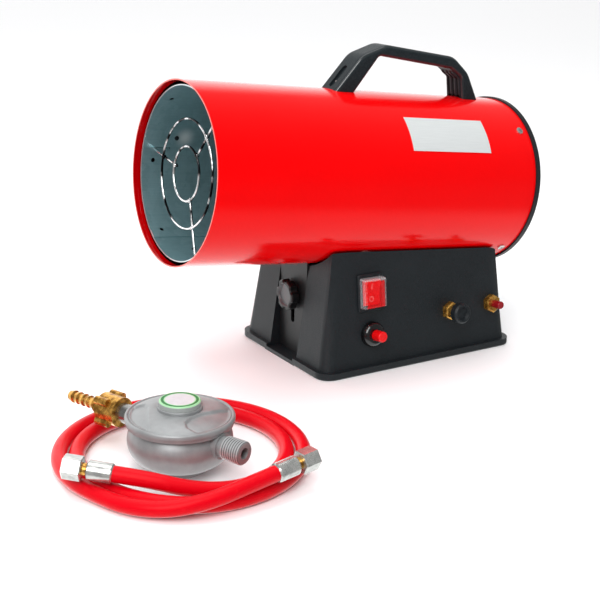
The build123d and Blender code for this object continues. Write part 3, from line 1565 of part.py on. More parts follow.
# Wing nut: a brass union nut with cast lugs that pulls the barb's collar against the stub.
nose_start = wing_start + wing_length - wing_nose_length
with BuildPart() as wing_nut:
    with BuildSketch(port(wing_start)):
        Circle(wing_radius)
    extrude(amount=wing_length - wing_nose_length)
    with BuildSketch(port(nose_start - wing_lug_length)):
        with PolarLocations(wing_radius, wing_lugs, start_angle=wing_lug_start):
            Circle(wing_lug_radius - wing_radius)
    extrude(amount=wing_lug_length)
    with BuildSketch(port(nose_start)):
        RegularPolygon(wing_nose_hex / 2, 6, major_radius=False)
    extrude(amount=wing_nose_length)
    with BuildSketch(port(wing_start)):
        Circle(inlet_stub_radius + running_clearance)
    extrude(amount=inlet_stub_end + barb_collar_length - wing_start, mode=Mode.SUBTRACT)
    with BuildSketch(port(wing_start)):
        Circle(barb_neck_radius + running_clearance)
    extrude(amount=wing_length, mode=Mode.SUBTRACT)
save(wing_nut, "wing_nut")

# Hose barb: a ridged brass tail whose collar sits against the stub.
collar_end = inlet_stub_end + barb_collar_length
neck_end = collar_end + barb_neck_length
ridge_lengths = [barb_end - number * barb_ridge_pitch for number in range(barb_ridges)]
with BuildPart() as hose_barb:
    with BuildSketch(reg_side):
        with BuildLine():
            ridges = []
            for tip in ridge_lengths:
                ridges.append((tip, port_height + barb_core_radius))
                ridges.append((tip - barb_ridge_share * barb_ridge_pitch, port_height + barb_ridge_radius))
            Polyline(
                (barb_end, port_height + barb_bore),
                *ridges,
                (ridge_lengths[-1] - barb_ridge_pitch, port_height + barb_core_radius),
                (neck_end, port_height + barb_core_radius),
                (neck_end, port_height + barb_neck_radius),
                (collar_end, port_height + barb_neck_radius),
                (collar_end, port_height + barb_collar_radius),
                (inlet_stub_end, port_height + barb_collar_radius),
                (inlet_stub_end, port_height + barb_bore),
                close=True,
            )
        make_face()
    revolve(axis=port_axis)
save(hose_barb, "hose_barb")
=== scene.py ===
# %% [markdown]
# A portable propane heater, dressed for its picture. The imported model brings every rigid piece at
# its real size: a red sheet-steel tube on a moulded base, with a hose and a regulator beside it.
# This file adds the camera, the light, the soft hose, the small fasteners and threads, and a finish
# for every piece. Lengths are in metres.

# %% Load the model
from math import cos, pi, radians, sin, sqrt

import bmesh
import bpy
from mathutils import Matrix, Vector


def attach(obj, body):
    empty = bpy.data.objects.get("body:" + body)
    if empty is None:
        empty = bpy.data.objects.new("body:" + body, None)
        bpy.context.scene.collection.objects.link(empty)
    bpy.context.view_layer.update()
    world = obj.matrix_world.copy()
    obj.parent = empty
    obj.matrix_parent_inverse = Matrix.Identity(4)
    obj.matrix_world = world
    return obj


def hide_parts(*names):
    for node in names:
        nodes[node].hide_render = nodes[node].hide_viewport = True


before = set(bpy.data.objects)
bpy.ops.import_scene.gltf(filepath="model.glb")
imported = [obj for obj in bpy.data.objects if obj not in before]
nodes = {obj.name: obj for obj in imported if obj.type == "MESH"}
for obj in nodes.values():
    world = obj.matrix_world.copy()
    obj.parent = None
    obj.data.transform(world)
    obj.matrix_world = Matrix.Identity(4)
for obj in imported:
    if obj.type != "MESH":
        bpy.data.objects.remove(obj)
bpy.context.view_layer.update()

tube_front = Vector((-0.2354, 0.0, 0.1981))
tube_tilt = radians(6.0)
shell_radius = 0.0850
chamber_inner = 0.0794
tube_back = Vector((cos(tube_tilt), 0.0, -sin(tube_tilt)))
tube_up = Vector((sin(tube_tilt), 0.0, cos(tube_tilt)))
print("the model has", len(nodes), "pieces")

# %% [markdown]
# The camera stands to the left of the controls and a little above them. A long lens keeps the
# tube's sides nearly parallel. A camera can be turned by rotations, but building its matrix from
# three directions at right angles is easier to check: right, up and back. The slight roll is put in
# by mixing right and up.

# %% Camera
azimuth = radians(-32.39)
elevation = radians(17.89)
roll = radians(1.45)
distance = 1.20517
target = Vector((-0.09537, 0.0, 0.05686))

back = Vector((sin(azimuth) * cos(elevation), -cos(azimuth) * cos(elevation), sin(elevation)))
level_right = Vector((0, 0, 1)).cross(back).normalized()
level_up = back.cross(level_right)
right = cos(roll) * level_right + sin(roll) * level_up
up = cos(roll) * level_up - sin(roll) * level_right
camera_data = bpy.data.cameras.new("camera")
camera_data.sensor_width = 36.0
camera_data.lens = 72.29
camera = bpy.data.objects.new("camera", camera_data)
place = Matrix((right, up, back)).transposed().to_4x4()
place.translation = target + back * distance
camera.matrix_world = place
bpy.context.scene.collection.objects.link(camera)
bpy.context.scene.camera = camera
print("camera at", [round(c, 3) for c in place.translation])

# %% [markdown]
# The floor is one large pale plane. Glossy sheet metal shows what stands round it, so the room
# matters more than the lamps. In a plain white sky the red enamel gets a grey film. So the sky is
# worked out from its direction, and differs for the light that it casts and for what is mirrored:
# the light comes from above and behind, while mirrors see a bright backdrop, a bright table and a
# dim room between them. The bare background is shown as plain white. Two key panels stand to the
# left, where the tube's side can't mirror them into the camera; the high one draws the bright line
# along the handle's edge.

# %% Floor, sky and lights
scene = bpy.context.scene
scene.view_settings.view_transform = "Standard"

floor_mesh = bmesh.new()
bmesh.ops.create_grid(floor_mesh, x_segments=1, y_segments=1, size=20.0)
floor_data = bpy.data.meshes.new("floor")
floor_mesh.to_mesh(floor_data)
floor_mesh.free()
floor = bpy.data.objects.new("floor", floor_data)
floor.visible_glossy = False
scene.collection.objects.link(floor)

sky = bpy.data.worlds.new("studio")
sky.use_nodes = True
sky_nodes, sky_links = sky.node_tree.nodes, sky.node_tree.links
way = sky_nodes.new("ShaderNodeTexCoord")
ray = sky_nodes.new("ShaderNodeLightPath")


def sky_glow(towards, low, high, dim, bright):
    """A brightness that goes from dim to bright as a ray turns towards a direction."""
    turn = sky_nodes.new("ShaderNodeVectorMath")
    turn.operation = "DOT_PRODUCT"
    turn.inputs[1].default_value = towards
    sky_links.new(way.outputs["Generated"], turn.inputs[0])
    glow = sky_nodes.new("ShaderNodeMapRange")
    glow.interpolation_type = "SMOOTHSTEP"
    limits = zip(("From Min", "From Max", "To Min", "To Max"), (low, high, dim, bright))
    for socket, value in limits:
        glow.inputs[socket].default_value = value
    sky_links.new(turn.outputs["Value"], glow.inputs["Value"])
    return glow.outputs["Result"]


def sky_choice(ray_kind, others, chosen):
    """One brightness for a kind of ray and another for all other rays."""
    node = sky_nodes.new("ShaderNodeMix")
    sky_links.new(ray.outputs[ray_kind], node.inputs["Factor"])
    for socket, value in (("A", others), ("B", chosen)):
        if isinstance(value, float):
            node.inputs[socket].default_value = value
        else:
            sky_links.new(value, node.inputs[socket])
    return node.outputs["Result"]


cast = sky_glow((0.10, 0.45, 0.89), low=0.0, high=0.85, dim=0.15, bright=1.40)
mirrored = sky_nodes.new("ShaderNodeMath")
backdrop = sky_glow((0.0, 1.0, 0.0), low=0.52, high=0.78, dim=0.20, bright=1.40)
sky_links.new(backdrop, mirrored.inputs[0])
table = sky_glow((0.0, 0.0, -1.0), low=0.40, high=0.64, dim=0.10, bright=1.10)
sky_links.new(table, mirrored.inputs[1])
shown = sky_choice("Is Camera Ray", sky_choice("Is Glossy Ray", cast, mirrored.outputs[0]), 1.0)
sky_links.new(shown, sky_nodes["Background"].inputs["Strength"])
sky_nodes["Background"].inputs["Color"].default_value = (1.0, 1.0, 1.0, 1.0)
scene.world = sky


def soft_panel(name, place, aim, size, power):
    """A rectangular soft light that looks at a point."""
    data = bpy.data.lights.new(name, "AREA")
    data.shape = "RECTANGLE"
    data.size, data.size_y = size
    data.energy = power
    panel = bpy.data.objects.new(name, data)
    panel.location = place
    panel.rotation_euler = (Vector(aim) - Vector(place)).to_track_quat("-Z", "Y").to_euler()
    scene.collection.objects.link(panel)


lit_middle = (-0.05, -0.05, 0.10)
soft_panel("key_left", (-1.9, -1.5, 1.5), lit_middle, size=(1.3, 1.3), power=34.0)
soft_panel("key_high", (-0.98, -1.17, 2.09), lit_middle, size=(0.7, 0.7), power=13.0)
soft_panel("overhead", (-0.2, 0.3, 1.8), lit_middle, size=(1.6, 0.8), power=9.0)

# %% [markdown]
# The gas hose is a length of rubber hose that lies in two turns on the floor. It could be a swept
# mesh, but a curve with a round bevel is the plain way: one smooth spline whose control points
# follow the route. Both ends are laid from their fitting down to the coil, and the turns between
# are a loop, 24 points to a turn. The first turn is the inner one; it slips under the ends to
# become the outer one. A curve of this kind stays a little inside its points, so the ring of
# points is made a touch larger than the turn. The bevel has a depth of 1 and each point carries
# the hose's radius, because a curve's box is measured with its points' radii, which are a whole
# metre when they are left alone.

# %% Hose
set_origin = Vector((-0.308, -0.162, 0.0))
set_angle = radians(-32.4)
set_turn = Matrix.Rotation(set_angle, 3, "Z")
hose_radius = 0.0065
inner_turn = 0.0850
outer_turn = 0.0990
points_per_turn = 24
start_route = [
    (-0.0440, -0.0760, 0.0213),
    (-0.0160, -0.0795, 0.0189),
    (0.0140, -0.0780, 0.0108),
    (0.0440, -0.0690, 0.0066),
]
end_route = [
    (-0.0568, -0.0811, 0.0065),
    (-0.0306, -0.0999, 0.0066),
    (0.0005, -0.1070, 0.0086),
    (0.0310, -0.1014, 0.0138),
    (0.0561, -0.0864, 0.0189),
    (0.0777, -0.0676, 0.0209),
]


def on_set(x, y, z):
    """A point of the gas set, which lies turned on the floor."""
    return set_origin + set_turn @ Vector((x, y, z))


def soft_step(value, low, high):
    """0 below one limit, 1 above another, and a smooth change between them."""
    share = min(max((value - low) / (high - low), 0.0), 1.0)
    return share * share * (3 - 2 * share)


turn_points = []
first_angle = -35.5
last_angle = 595.0
widens_from = 215.0
widens_to = 305.0
point_step = 360.0 / points_per_turn
inside_share = (1 + cos(pi / points_per_turn)) / 2
angle = first_angle
while angle < last_angle - point_step / 2:
    widened = soft_step(angle, widens_from, widens_to)
    radius = (inner_turn + (outer_turn - inner_turn) * widened) / inside_share
    turn_points.append((radius * cos(radians(angle)), radius * sin(radians(angle)), hose_radius))
    angle += point_step
route = [on_set(*point) for point in start_route + turn_points + end_route]

hose_curve = bpy.data.curves.new("gas_hose", "CURVE")
hose_curve.dimensions = "3D"
hose_curve.bevel_depth = 1.0
hose_curve.bevel_resolution = 7
hose_curve.resolution_u = 8
hose_curve.use_fill_caps = True
spline = hose_curve.splines.new("NURBS")
spline.points.add(len(route) - 1)
for point, place in zip(spline.points, route):
    point.co = (*place, 1.0)
    point.radius = hose_radius
spline.order_u = 3
spline.use_endpoint_u = True
gas_hose = bpy.data.objects.new("gas_hose", hose_curve)
scene.collection.objects.link(gas_hose)
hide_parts("hose_coil", "hose_start", "hose_end")
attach(gas_hose, "hose")

# %% [markdown]
# A finish is a set of shader nodes, and most of those nodes only add and multiply. They could be
# wired one by one, which hides the sum in a long list of links. Here a small class wraps a socket
# and takes over the plus, minus and times signs, so a sum reads as a sum. A second class holds one
# material and adds its other nodes.

# %% Shader sums
class Signal:
    """A number or colour inside a shader, which can be used in plain sums."""

    def __init__(self, finish, socket):
        self.finish = finish
        self.socket = socket

    def worked_out(self, operation, first, second):
        return self.finish.add("ShaderNodeMath", {"operation": operation}, {0: first, 1: second})

    def __add__(self, other):
        return self.worked_out("ADD", self, other)

    def __sub__(self, other):
        return self.worked_out("SUBTRACT", self, other)

    def __rsub__(self, other):
        return self.worked_out("SUBTRACT", other, self)

    def __mul__(self, other):
        return self.worked_out("MULTIPLY", self, other)

    def __lt__(self, other):
        return self.worked_out("LESS_THAN", self, other)

    def __gt__(self, other):
        return self.worked_out("GREATER_THAN", self, other)


class Finish:
    """One material, with its nodes added by name and its last values set on the shader."""

    def __init__(self, name):
        self.material = bpy.data.materials.new(name)
        self.material.use_nodes = True
        self.tree = self.material.node_tree
        self.shader = self.tree.nodes["Principled BSDF"]
        self.place = self.add("ShaderNodeTexCoord", output="Object")

    def feed(self, socket, value):
        """Joins a signal to a socket, or sets the socket to a plain value."""
        if isinstance(value, Signal):
            self.tree.links.new(value.socket, socket)
        else:
            socket.default_value = value

    def add(self, kind, settings=None, inputs=None, output=0):
        """Adds a node of a kind; its settings come first, then its inputs."""
        node = self.tree.nodes.new(kind)
        for name, value in (settings or {}).items():
            setattr(node, name, value)
        for name, value in (inputs or {}).items():
            self.feed(node.inputs[name], value)
        return Signal(self, node.outputs[output])

    def vector(self, operation, first, second, output=0):
        """A sum of two vectors, such as their difference."""
        inputs = {0: first, 1: second}
        return self.add("ShaderNodeVectorMath", {"operation": operation}, inputs, output)

    def length(self, vector):
        """How long a vector is."""
        settings = {"operation": "LENGTH"}
        return self.add("ShaderNodeVectorMath", settings, {0: vector}, output="Value")

    def noise(self, size, detail=2.0, roughness=0.5, distortion=0.0):
        """Cloudy noise whose lumps are about this size in metres."""
        return self.add("ShaderNodeTexNoise", None, {
            "Vector": self.place, "Scale": 1.0 / size, "Detail": detail,
            "Roughness": roughness, "Distortion": distortion})

    def stretched(self, scale, turn=(0.0, 0.0, 0.0)):
        """The place in the object, turned and stretched for a grain."""
        turned = self.add("ShaderNodeMapping", {"vector_type": "TEXTURE"},
                          {"Vector": self.place, "Rotation": turn})
        return self.add("ShaderNodeMapping", None, {"Vector": turned, "Scale": scale})

    def step(self, value, low, high, start=0.0, end=1.0):
        """A value that goes smoothly from start to end as the signal goes from low to high."""
        return self.add("ShaderNodeMapRange", {"interpolation_type": "SMOOTHSTEP"}, {
            "Value": value, "From Min": low, "From Max": high, "To Min": start, "To Max": end})

    def mix(self, share, first, second):
        """Two colours mixed by a share."""
        inputs = {0: share, 6: first, 7: second}
        return self.add("ShaderNodeMix", {"data_type": "RGBA"}, inputs, output=2)

    def relief(self, height, depth):
        """A bump whose height of 1 stands up by this depth in metres."""
        inputs = {"Height": height, "Distance": depth, "Strength": 1.0}
        return self.add("ShaderNodeBump", None, inputs)

    def set(self, **values):
        """Sets the shader's own sockets; an underscore in a name stands for a space."""
        for name, value in values.items():
            self.feed(self.shader.inputs[name.replace("_", " ")], value)
        print(self.material.name, "is made of", len(self.tree.nodes), "shader nodes")
        return self


def shade(red, green, blue):
    """A screen colour, from 0 to 255, as the linear colour that shaders use."""
    parts = [channel / 255 for channel in (red, green, blue)]
    linear = [part / 12.92 if part <= 0.04045 else ((part + 0.055) / 1.055) ** 2.4
              for part in parts]
    return (*linear, 1.0)


# %% [markdown]
# Some finishes follow a place on their piece: the switch's marks, the green ring on the regulator's
# cap, the painted shade inside the shell. They could be drawn as flat shapes that lie on the
# surface, but a mask in the shader can't flicker or come loose. A mask measures a distance from a
# point or from the tube's axis.

# %% Masks in a finish
def away_from(finish, centre, weights=(1.0, 1.0, 1.0)):
    """The distance from a centre, with each direction weighed."""
    gap = finish.vector("SUBTRACT", finish.place, tuple(centre))
    return finish.length(finish.vector("MULTIPLY", gap, weights))


def along_tube(finish, way=tube_back):
    """The distance behind the tube's front rim, or from the rim's middle in another direction."""
    gap = finish.vector("SUBTRACT", finish.place, tuple(tube_front))
    return finish.vector("DOT_PRODUCT", gap, tuple(way), output="Value")


def from_axis(finish, start=tube_front, axis=tube_back):
    """The distance from the tube's axis, or from another one."""
    gap = finish.vector("SUBTRACT", finish.place, tuple(start))
    return finish.length(finish.vector("CROSS_PRODUCT", gap, tuple(axis)))


def band(finish, value, low, high, soft):
    """1 between two limits and 0 outside them, with soft edges."""
    rise = finish.step(value, low - soft, low + soft)
    return rise * finish.step(value, high - soft, high + soft, 1.0, 0.0)


# %% [markdown]
# The floor is plain and pale. A little unevenness in its roughness keeps it from looking like a
# cut-out.

# %% Floor finish
floor_finish = Finish("studio_floor")
floor_finish.set(
    Base_Color=shade(246, 246, 247),
    Roughness=floor_finish.noise(0.3) * 0.1 + 0.55,
)
floor_data.materials.append(floor_finish.material)

# %% [markdown]
# The tube is rolled sheet steel with gloss enamel. The colour of such paint is nearly even; what
# the eye reads as enamel is a sharp clear layer over a slightly soft one, with the faint waves that
# spraying leaves, called orange peel. The waves are a bump of a few millimetres, kept very low, and
# dust dulls the gloss in places. The gloss is tinted red, because a deep enamel swallows part of
# what it mirrors except at a glancing angle. Inside the shell the red is darkened as painted
# shade, and beyond the lip it turns nearly black, a painted shadow that makes the vent holes look
# black. A pale line round the front's cut edge is a painted highlight.

# %% Red enamel
red_enamel = Finish("red_enamel")
peel = red_enamel.noise(0.004, detail=1.0) + red_enamel.noise(0.03, detail=1.0) * 0.8
cloud = red_enamel.noise(0.12, detail=3.0)
dust = red_enamel.step(red_enamel.noise(0.0012, detail=2.0), 0.68, 0.78)
paint_skin, deep_shadow_start, shell_highlight_depth = 0.0004, 0.0075, 0.0002
# Painted shade: a darker red inside the shell, and a near-black painted shadow past the lip.
inner_face_shade = from_axis(red_enamel) < shell_radius - paint_skin
painted_deep_shadow = inner_face_shade * (along_tube(red_enamel) > deep_shadow_start)
# Painted highlight: a pale line at the front's cut edge.
shell_edge_highlight = along_tube(red_enamel) < shell_highlight_depth
enamel_tone = red_enamel.mix(cloud, shade(228, 0, 3), shade(240, 1, 5))
enamel_tone = red_enamel.mix(inner_face_shade, enamel_tone, shade(176, 0, 4))
enamel_tone = red_enamel.mix(shell_edge_highlight, enamel_tone, shade(226, 120, 112))
red_enamel.set(
    Base_Color=red_enamel.mix(painted_deep_shadow, enamel_tone, shade(22, 12, 12)),
    Roughness=red_enamel.noise(0.05) * 0.06 + dust * 0.08 + 0.13,
    Specular_IOR_Level=0.45,
    Specular_Tint=(1.0, 0.08, 0.08, 1.0),
    Coat_Weight=dust * -0.05 + 0.10,
    Coat_Roughness=0.03,
    Normal=red_enamel.relief(peel, 0.00006),
)

# %% [markdown]
# Galvanised sheet has frozen zinc crystals on it, called spangle, which differ in brightness from
# one to the next. A Voronoi texture gives every cell one random colour, which is what such crystals
# look like, and a finer noise breaks up their edges. The chamber and the baffle are of this sheet.
# A painted highlight lines the chamber's front edge, and a soft one lies on its wall.

# %% Galvanised sheet
galvanised = Finish("galvanised_sheet")
waves = galvanised.add("ShaderNodeTexNoise", None, {"Vector": galvanised.place, "Scale": 90.0},
                       output="Color")
wavy = galvanised.add("ShaderNodeMix", {"data_type": "VECTOR"},
                      {0: 0.012, 4: galvanised.place, 5: waves}, output=1)
crystal = galvanised.add("ShaderNodeTexVoronoi", None, {"Vector": wavy, "Scale": 160.0},
                         output="Color")
crystal_tone = galvanised.add("ShaderNodeSeparateColor", None, {"Color": crystal})
rolling = galvanised.add("ShaderNodeTexNoise", None, {
    "Vector": galvanised.stretched((30.0, 900.0, 900.0), (0.0, tube_tilt, 0.0)),
    "Scale": 1.0, "Detail": 3.0})
sheet_tone = galvanised.mix(crystal_tone * 0.35 + rolling * 0.65,
                            shade(130, 166, 172), shade(160, 194, 200))
# Painted highlights: a soft bright spot on the chamber's wall and a pale line at its front edge.
painted_highlight_centre = (-0.1842, 0.0764, 0.2146)
chamber_highlight_depth = 0.0065
spot_highlight = galvanised.step(away_from(galvanised, painted_highlight_centre), low=0.0, high=0.013)
sheet_tone = galvanised.mix(1.0 - spot_highlight, sheet_tone, shade(246, 255, 255))
galvanised.set(
    Base_Color=galvanised.mix(along_tube(galvanised) < chamber_highlight_depth, sheet_tone, shade(226, 236, 238)),
    Metallic=0.7,
    Roughness=crystal_tone * 0.04 + rolling * 0.08 + 0.27,
    Normal=galvanised.relief(rolling * 0.6 + galvanised.noise(0.02) * 0.4, 0.00006),
)

# %% [markdown]
# The base and the handle are moulded in black plastic with a spark-eroded grain: a fine, even
# pebble that scatters light. Two noises of different sizes, with the smaller one sharper, give the
# pebble, and worn places are a little smoother. Gloss black pieces use the same colour with a
# polished surface. Hands have rubbed the handle's rounded edges to a shine: a clear coat lies only
# where the surface turns from the top to a side. The grooves of its grip carry painted shade: they
# are nearly black. The clamp knob's dished face is a lighter grey, a painted reflection, and the
# sheet parts have a powder coat with a coarser pebble.

# %% Black moulded plastic
black_grain = Finish("black_grained_plastic")
pebble = black_grain.step(black_grain.noise(0.0009, detail=2.0), 0.35, 0.65)
grain_cloud = black_grain.noise(0.05, detail=3.0)
grain_tone = pebble * 0.5 + grain_cloud * 0.5
black_grain.set(
    Base_Color=black_grain.mix(grain_tone, shade(18, 23, 26), shade(32, 38, 42)),
    Roughness=pebble * 0.12 + grain_cloud * 0.06 + 0.34,
    Specular_IOR_Level=0.34,
    Normal=black_grain.relief(pebble, 0.00009),
)

handle_black = Finish("handle_plastic")
facing = handle_black.add("ShaderNodeNewGeometry", output="Normal")
sideways = handle_black.vector("DOT_PRODUCT", facing, (0.0, 1.0, 0.0), output="Value")
rubbed = band(handle_black, sideways * sideways, low=0.15, high=0.80, soft=0.06)
station = along_tube(handle_black)
height_up = along_tube(handle_black, tube_up)
off_middle = away_from(handle_black, (0.0, 0.0, 0.0), (0.0, 1.0, 0.0))
grip_start, grip_corner_sum, grip_half_width = 0.2965, 0.4147, 0.0103
# Painted shade: the grip's grooves are painted nearly black.
grip_groove_shade = (station + height_up < grip_corner_sum) * (station > grip_start)
grip_groove_shade = grip_groove_shade * (off_middle < grip_half_width)
pores = handle_black.step(handle_black.noise(0.0009, detail=2.0), 0.35, 0.65)
handle_tone = handle_black.mix(pores, shade(26, 33, 36), shade(38, 45, 48))
handle_black.set(
    Base_Color=handle_black.mix(grip_groove_shade, handle_tone, shade(7, 8, 9)),
    Roughness=pores * 0.12 + 0.36,
    Specular_IOR_Level=0.10,
    Coat_Weight=rubbed * (1.0 - grip_groove_shade),
    Coat_Roughness=0.07,
    Normal=handle_black.relief(pores, 0.00006),
)

knob_black = Finish("dished_knob")
knob_height, dish_radius = 0.065, 0.0115
# Painted reflection: the black knob's dished face is painted a lighter grey.
dish_reflection = away_from(knob_black, (0.0, 0.0, knob_height), (0.0, 1.0, 1.0)) < dish_radius
knob_tone = knob_black.mix(knob_black.noise(0.002), shade(10, 11, 12), shade(20, 22, 23))
knob_black.set(
    Base_Color=knob_black.mix(dish_reflection, knob_tone, shade(92, 95, 97)),
    Roughness=knob_black.noise(0.001) * 0.15 + 0.28,
    Normal=knob_black.relief(knob_black.noise(0.001), 0.00004),
)

black_gloss = Finish("black_gloss_plastic")
black_gloss.set(
    Base_Color=black_gloss.mix(black_gloss.noise(0.01), shade(6, 6, 7), shade(13, 13, 15)),
    Roughness=black_gloss.noise(0.004, detail=3.0) * 0.12 + 0.12,
    Coat_Weight=0.4,
    Coat_Roughness=0.05,
    Normal=black_gloss.relief(black_gloss.noise(0.006), 0.00003),
)

black_powder = Finish("black_powder_coat")
powder = black_powder.noise(0.0016, detail=3.0, roughness=0.6)
black_powder.set(
    Base_Color=black_powder.mix(powder, shade(12, 13, 14), shade(26, 28, 30)),
    Roughness=powder * 0.15 + 0.38,
    Normal=black_powder.relief(powder, 0.0001),
)

# %% [markdown]
# The bare metals share a recipe: a metallic shader, a tint, and a roughness that wanders. Each
# could have a shader of its own, but one helper keeps them alike. What tells them apart is the
# tint, the gloss and the size of the patches. Zinc plate is bright and softly mottled, brass is
# warmer and patchier, and the chrome wire is nearly a mirror, whose sharp dark and bright patches
# are a painted reflection of a room.

# %% Bare metals
def bare_metal(name, dark, light, smooth, patch_size, grain=0.0015, metallic=1.0, spread=(0.2, 0.8)):
    """A metal in patches of two tints with a wandering gloss; a narrow spread makes them sharper.
    """
    finish = Finish(name)
    tone = finish.step(finish.noise(patch_size, detail=4.0), *spread)
    scratch = finish.noise(grain, detail=2.0, distortion=0.6)
    return finish.set(
        Base_Color=finish.mix(tone, dark, light),
        Metallic=metallic,
        Roughness=tone * 0.06 + scratch * 0.08 + smooth,
        Normal=finish.relief(scratch, 0.00002),
    )


zinc_plate = bare_metal(
    "bright_zinc_plate", shade(176, 178, 176), shade(216, 217, 213), 0.14, 0.006, metallic=0.8)
# Painted reflection: the chrome wire's sharp dark and bright patches stand for a room.
chrome_wire = bare_metal(
    "chrome_wire", shade(20, 22, 25), shade(255, 255, 255), 0.05, 0.022, spread=(0.44, 0.56))
ground_steel = bare_metal(
    "ground_steel", shade(140, 140, 139), shade(176, 176, 174), 0.20, 0.008)
brass = bare_metal(
    "machined_brass", shade(150, 102, 36), shade(232, 178, 88), 0.18, 0.005, metallic=0.8,
    spread=(0.35, 0.65))
copper = bare_metal(
    "soft_copper", shade(152, 88, 62), shade(196, 124, 92), 0.22, 0.012)
burner_steel = bare_metal(
    "heat_tinted_steel", shade(112, 98, 84), shade(142, 140, 148), 0.26, 0.02)
scorched = bare_metal(
    "scorched_screw", shade(44, 44, 46), shade(88, 90, 92), 0.30, 0.003)
diecast = bare_metal(
    "satin_die_casting", shade(144, 146, 147), shade(160, 162, 163), 0.38, 0.010, grain=0.0006,
    metallic=0.5)

# %% [markdown]
# The label is a bare foil. Such foils are brushed along their length, so the noise is stretched
# along the tube until it becomes fine lines.

# %% Label foil
foil = Finish("brushed_foil")
brushed = foil.add("ShaderNodeTexNoise", None, {
    "Vector": foil.stretched((40.0, 2600.0, 2600.0), (0.0, tube_tilt, 0.0)),
    "Scale": 1.0, "Detail": 2.0})
foil.set(
    Base_Color=foil.mix(brushed, shade(206, 210, 210), shade(226, 230, 230)),
    Metallic=0.25,
    Roughness=brushed * 0.12 + 0.34,
    Normal=foil.relief(brushed, 0.00001),
)

# %% [markdown]
# Plastics and rubbers take their look from their colour and gloss. The red button is glossy, the
# hose is satin rubber with a little talc on it, and the dust cap is darker and softer. Inside,
# the electrode is glazed ceramic, the terminal block a plain moulding, and the motor enamelled.

# %% Plastics, rubbers and ceramic
red_gloss = Finish("red_gloss_plastic")
red_gloss.set(
    Base_Color=red_gloss.mix(red_gloss.noise(0.008), shade(214, 4, 10), shade(236, 10, 16)),
    Roughness=red_gloss.noise(0.002, detail=3.0) * 0.15 + 0.16,
    Normal=red_gloss.relief(red_gloss.noise(0.003), 0.00003),
)

red_hose = Finish("red_hose_rubber")
talc = red_hose.step(red_hose.noise(0.006, detail=5.0), 0.52, 0.8)
skin = red_hose.noise(0.0012, detail=2.0)
red_hose.set(
    Base_Color=red_hose.mix(talc * 0.30, shade(208, 0, 20), shade(228, 22, 34)),
    Roughness=talc * 0.12 + skin * 0.08 + 0.30,
    Specular_IOR_Level=0.34,
    Specular_Tint=(1.0, 0.25, 0.25, 1.0),
    Normal=red_hose.relief(skin, 0.00006),
)

cap_rubber = Finish("dark_red_cap")
cap_rubber.set(
    Base_Color=cap_rubber.mix(cap_rubber.noise(0.004), shade(122, 4, 16), shade(154, 10, 24)),
    Roughness=cap_rubber.noise(0.001, detail=2.0) * 0.2 + 0.22,
    Normal=cap_rubber.relief(cap_rubber.noise(0.001), 0.00005),
)

ceramic = Finish("glazed_ceramic")
glaze = ceramic.noise(0.01, detail=4.0)
ceramic.set(
    Base_Color=ceramic.mix(glaze, shade(228, 222, 208), shade(244, 240, 230)),
    Roughness=ceramic.noise(0.004) * 0.15 + 0.12,
)

cream_block = Finish("cream_moulding")
cream_block.set(
    Base_Color=cream_block.mix(cream_block.noise(0.01), shade(222, 218, 204), shade(234, 231, 220)),
    Roughness=cream_block.noise(0.001) * 0.2 + 0.40,
    Normal=cream_block.relief(cream_block.noise(0.001), 0.00004),
)

motor_grey = Finish("motor_enamel")
motor_cloud = motor_grey.noise(0.02, detail=3.0)
motor_grey.set(
    Base_Color=motor_grey.mix(motor_cloud, shade(96, 100, 104), shade(116, 120, 124)),
    Roughness=motor_grey.noise(0.002) * 0.2 + 0.32,
    Normal=motor_grey.relief(motor_grey.noise(0.002), 0.00006),
)

# %% [markdown]
# The splash boot over the rocker is clear plastic. Real glass rendering with refraction is slow and
# leaves the exported model; a see-through shader is nearer to how a soft clear cover looks. It is
# clearest where it faces the eye, and a painted sheen whitens it at its glancing edges, so its
# alpha follows the angle and grows towards the brim. In its middle the rocker's red, as the cover
# bends it out to fill the window, is painted in as a red that is half clear.

# %% Clear cover
clear_cover = Finish("clear_splash_cover")
smear = clear_cover.noise(0.006, detail=3.0)
# Painted sheen: the white of the cover shows more at glancing edges and towards the brim.
turned_away = clear_cover.add("ShaderNodeLayerWeight", None, {"Blend": 0.25}, output="Facing")
switch_x, switch_z = -0.0586, 0.0789
upright = away_from(clear_cover, (switch_x, 0.0, switch_z), (0.0, 0.0, 1.0))
sidelong = away_from(clear_cover, (switch_x, 0.0, switch_z), (1.0, 0.0, 0.0))
glow_up, glow_aside = 0.0130, 0.0102
brim_up, brim_aside = 0.0138, 0.0122
# Painted in: the rocker's red as the cover bends it into its middle.
glow = (upright < glow_up) * (sidelong < glow_aside)
brim = (upright > brim_up) * 0.16 + (sidelong > brim_aside) * 0.12
clear_cover.set(
    Base_Color=clear_cover.mix(glow, shade(232, 236, 238), shade(232, 4, 12)),
    Roughness=smear * 0.12 + 0.04,
    Alpha=smear * 0.04 + turned_away * 0.12 + brim + glow * 0.42 + 0.01,
)

# %% [markdown]
# The pieces below are made here because they are too fine for the model: crossed recesses in
# screws, screw threads, pressed hollows and weld beads. Each is built at the origin, looking along
# +Z, and then put in its place by moving its vertices, so that its object stays at the origin. A
# few helpers do that.

# %% Helpers for placing pieces
def standing(origin, outward, along):
    """The matrix that takes a piece's Z to outward and its X to along, with its base at origin."""
    z = outward.normalized()
    x = (along - along.dot(z) * z).normalized()
    matrix = Matrix((x, z.cross(x), z)).transposed().to_4x4()
    matrix.translation = origin
    return matrix


def on_tube(station, angle, radius, outward=True):
    """A place on the tube: so far behind its front rim, so far round and so far out."""
    out = tube_up * cos(radians(angle)) - Vector((0, 1, 0)) * sin(radians(angle))
    origin = tube_front + tube_back * station + out * radius
    return standing(origin, out if outward else -out, tube_back)


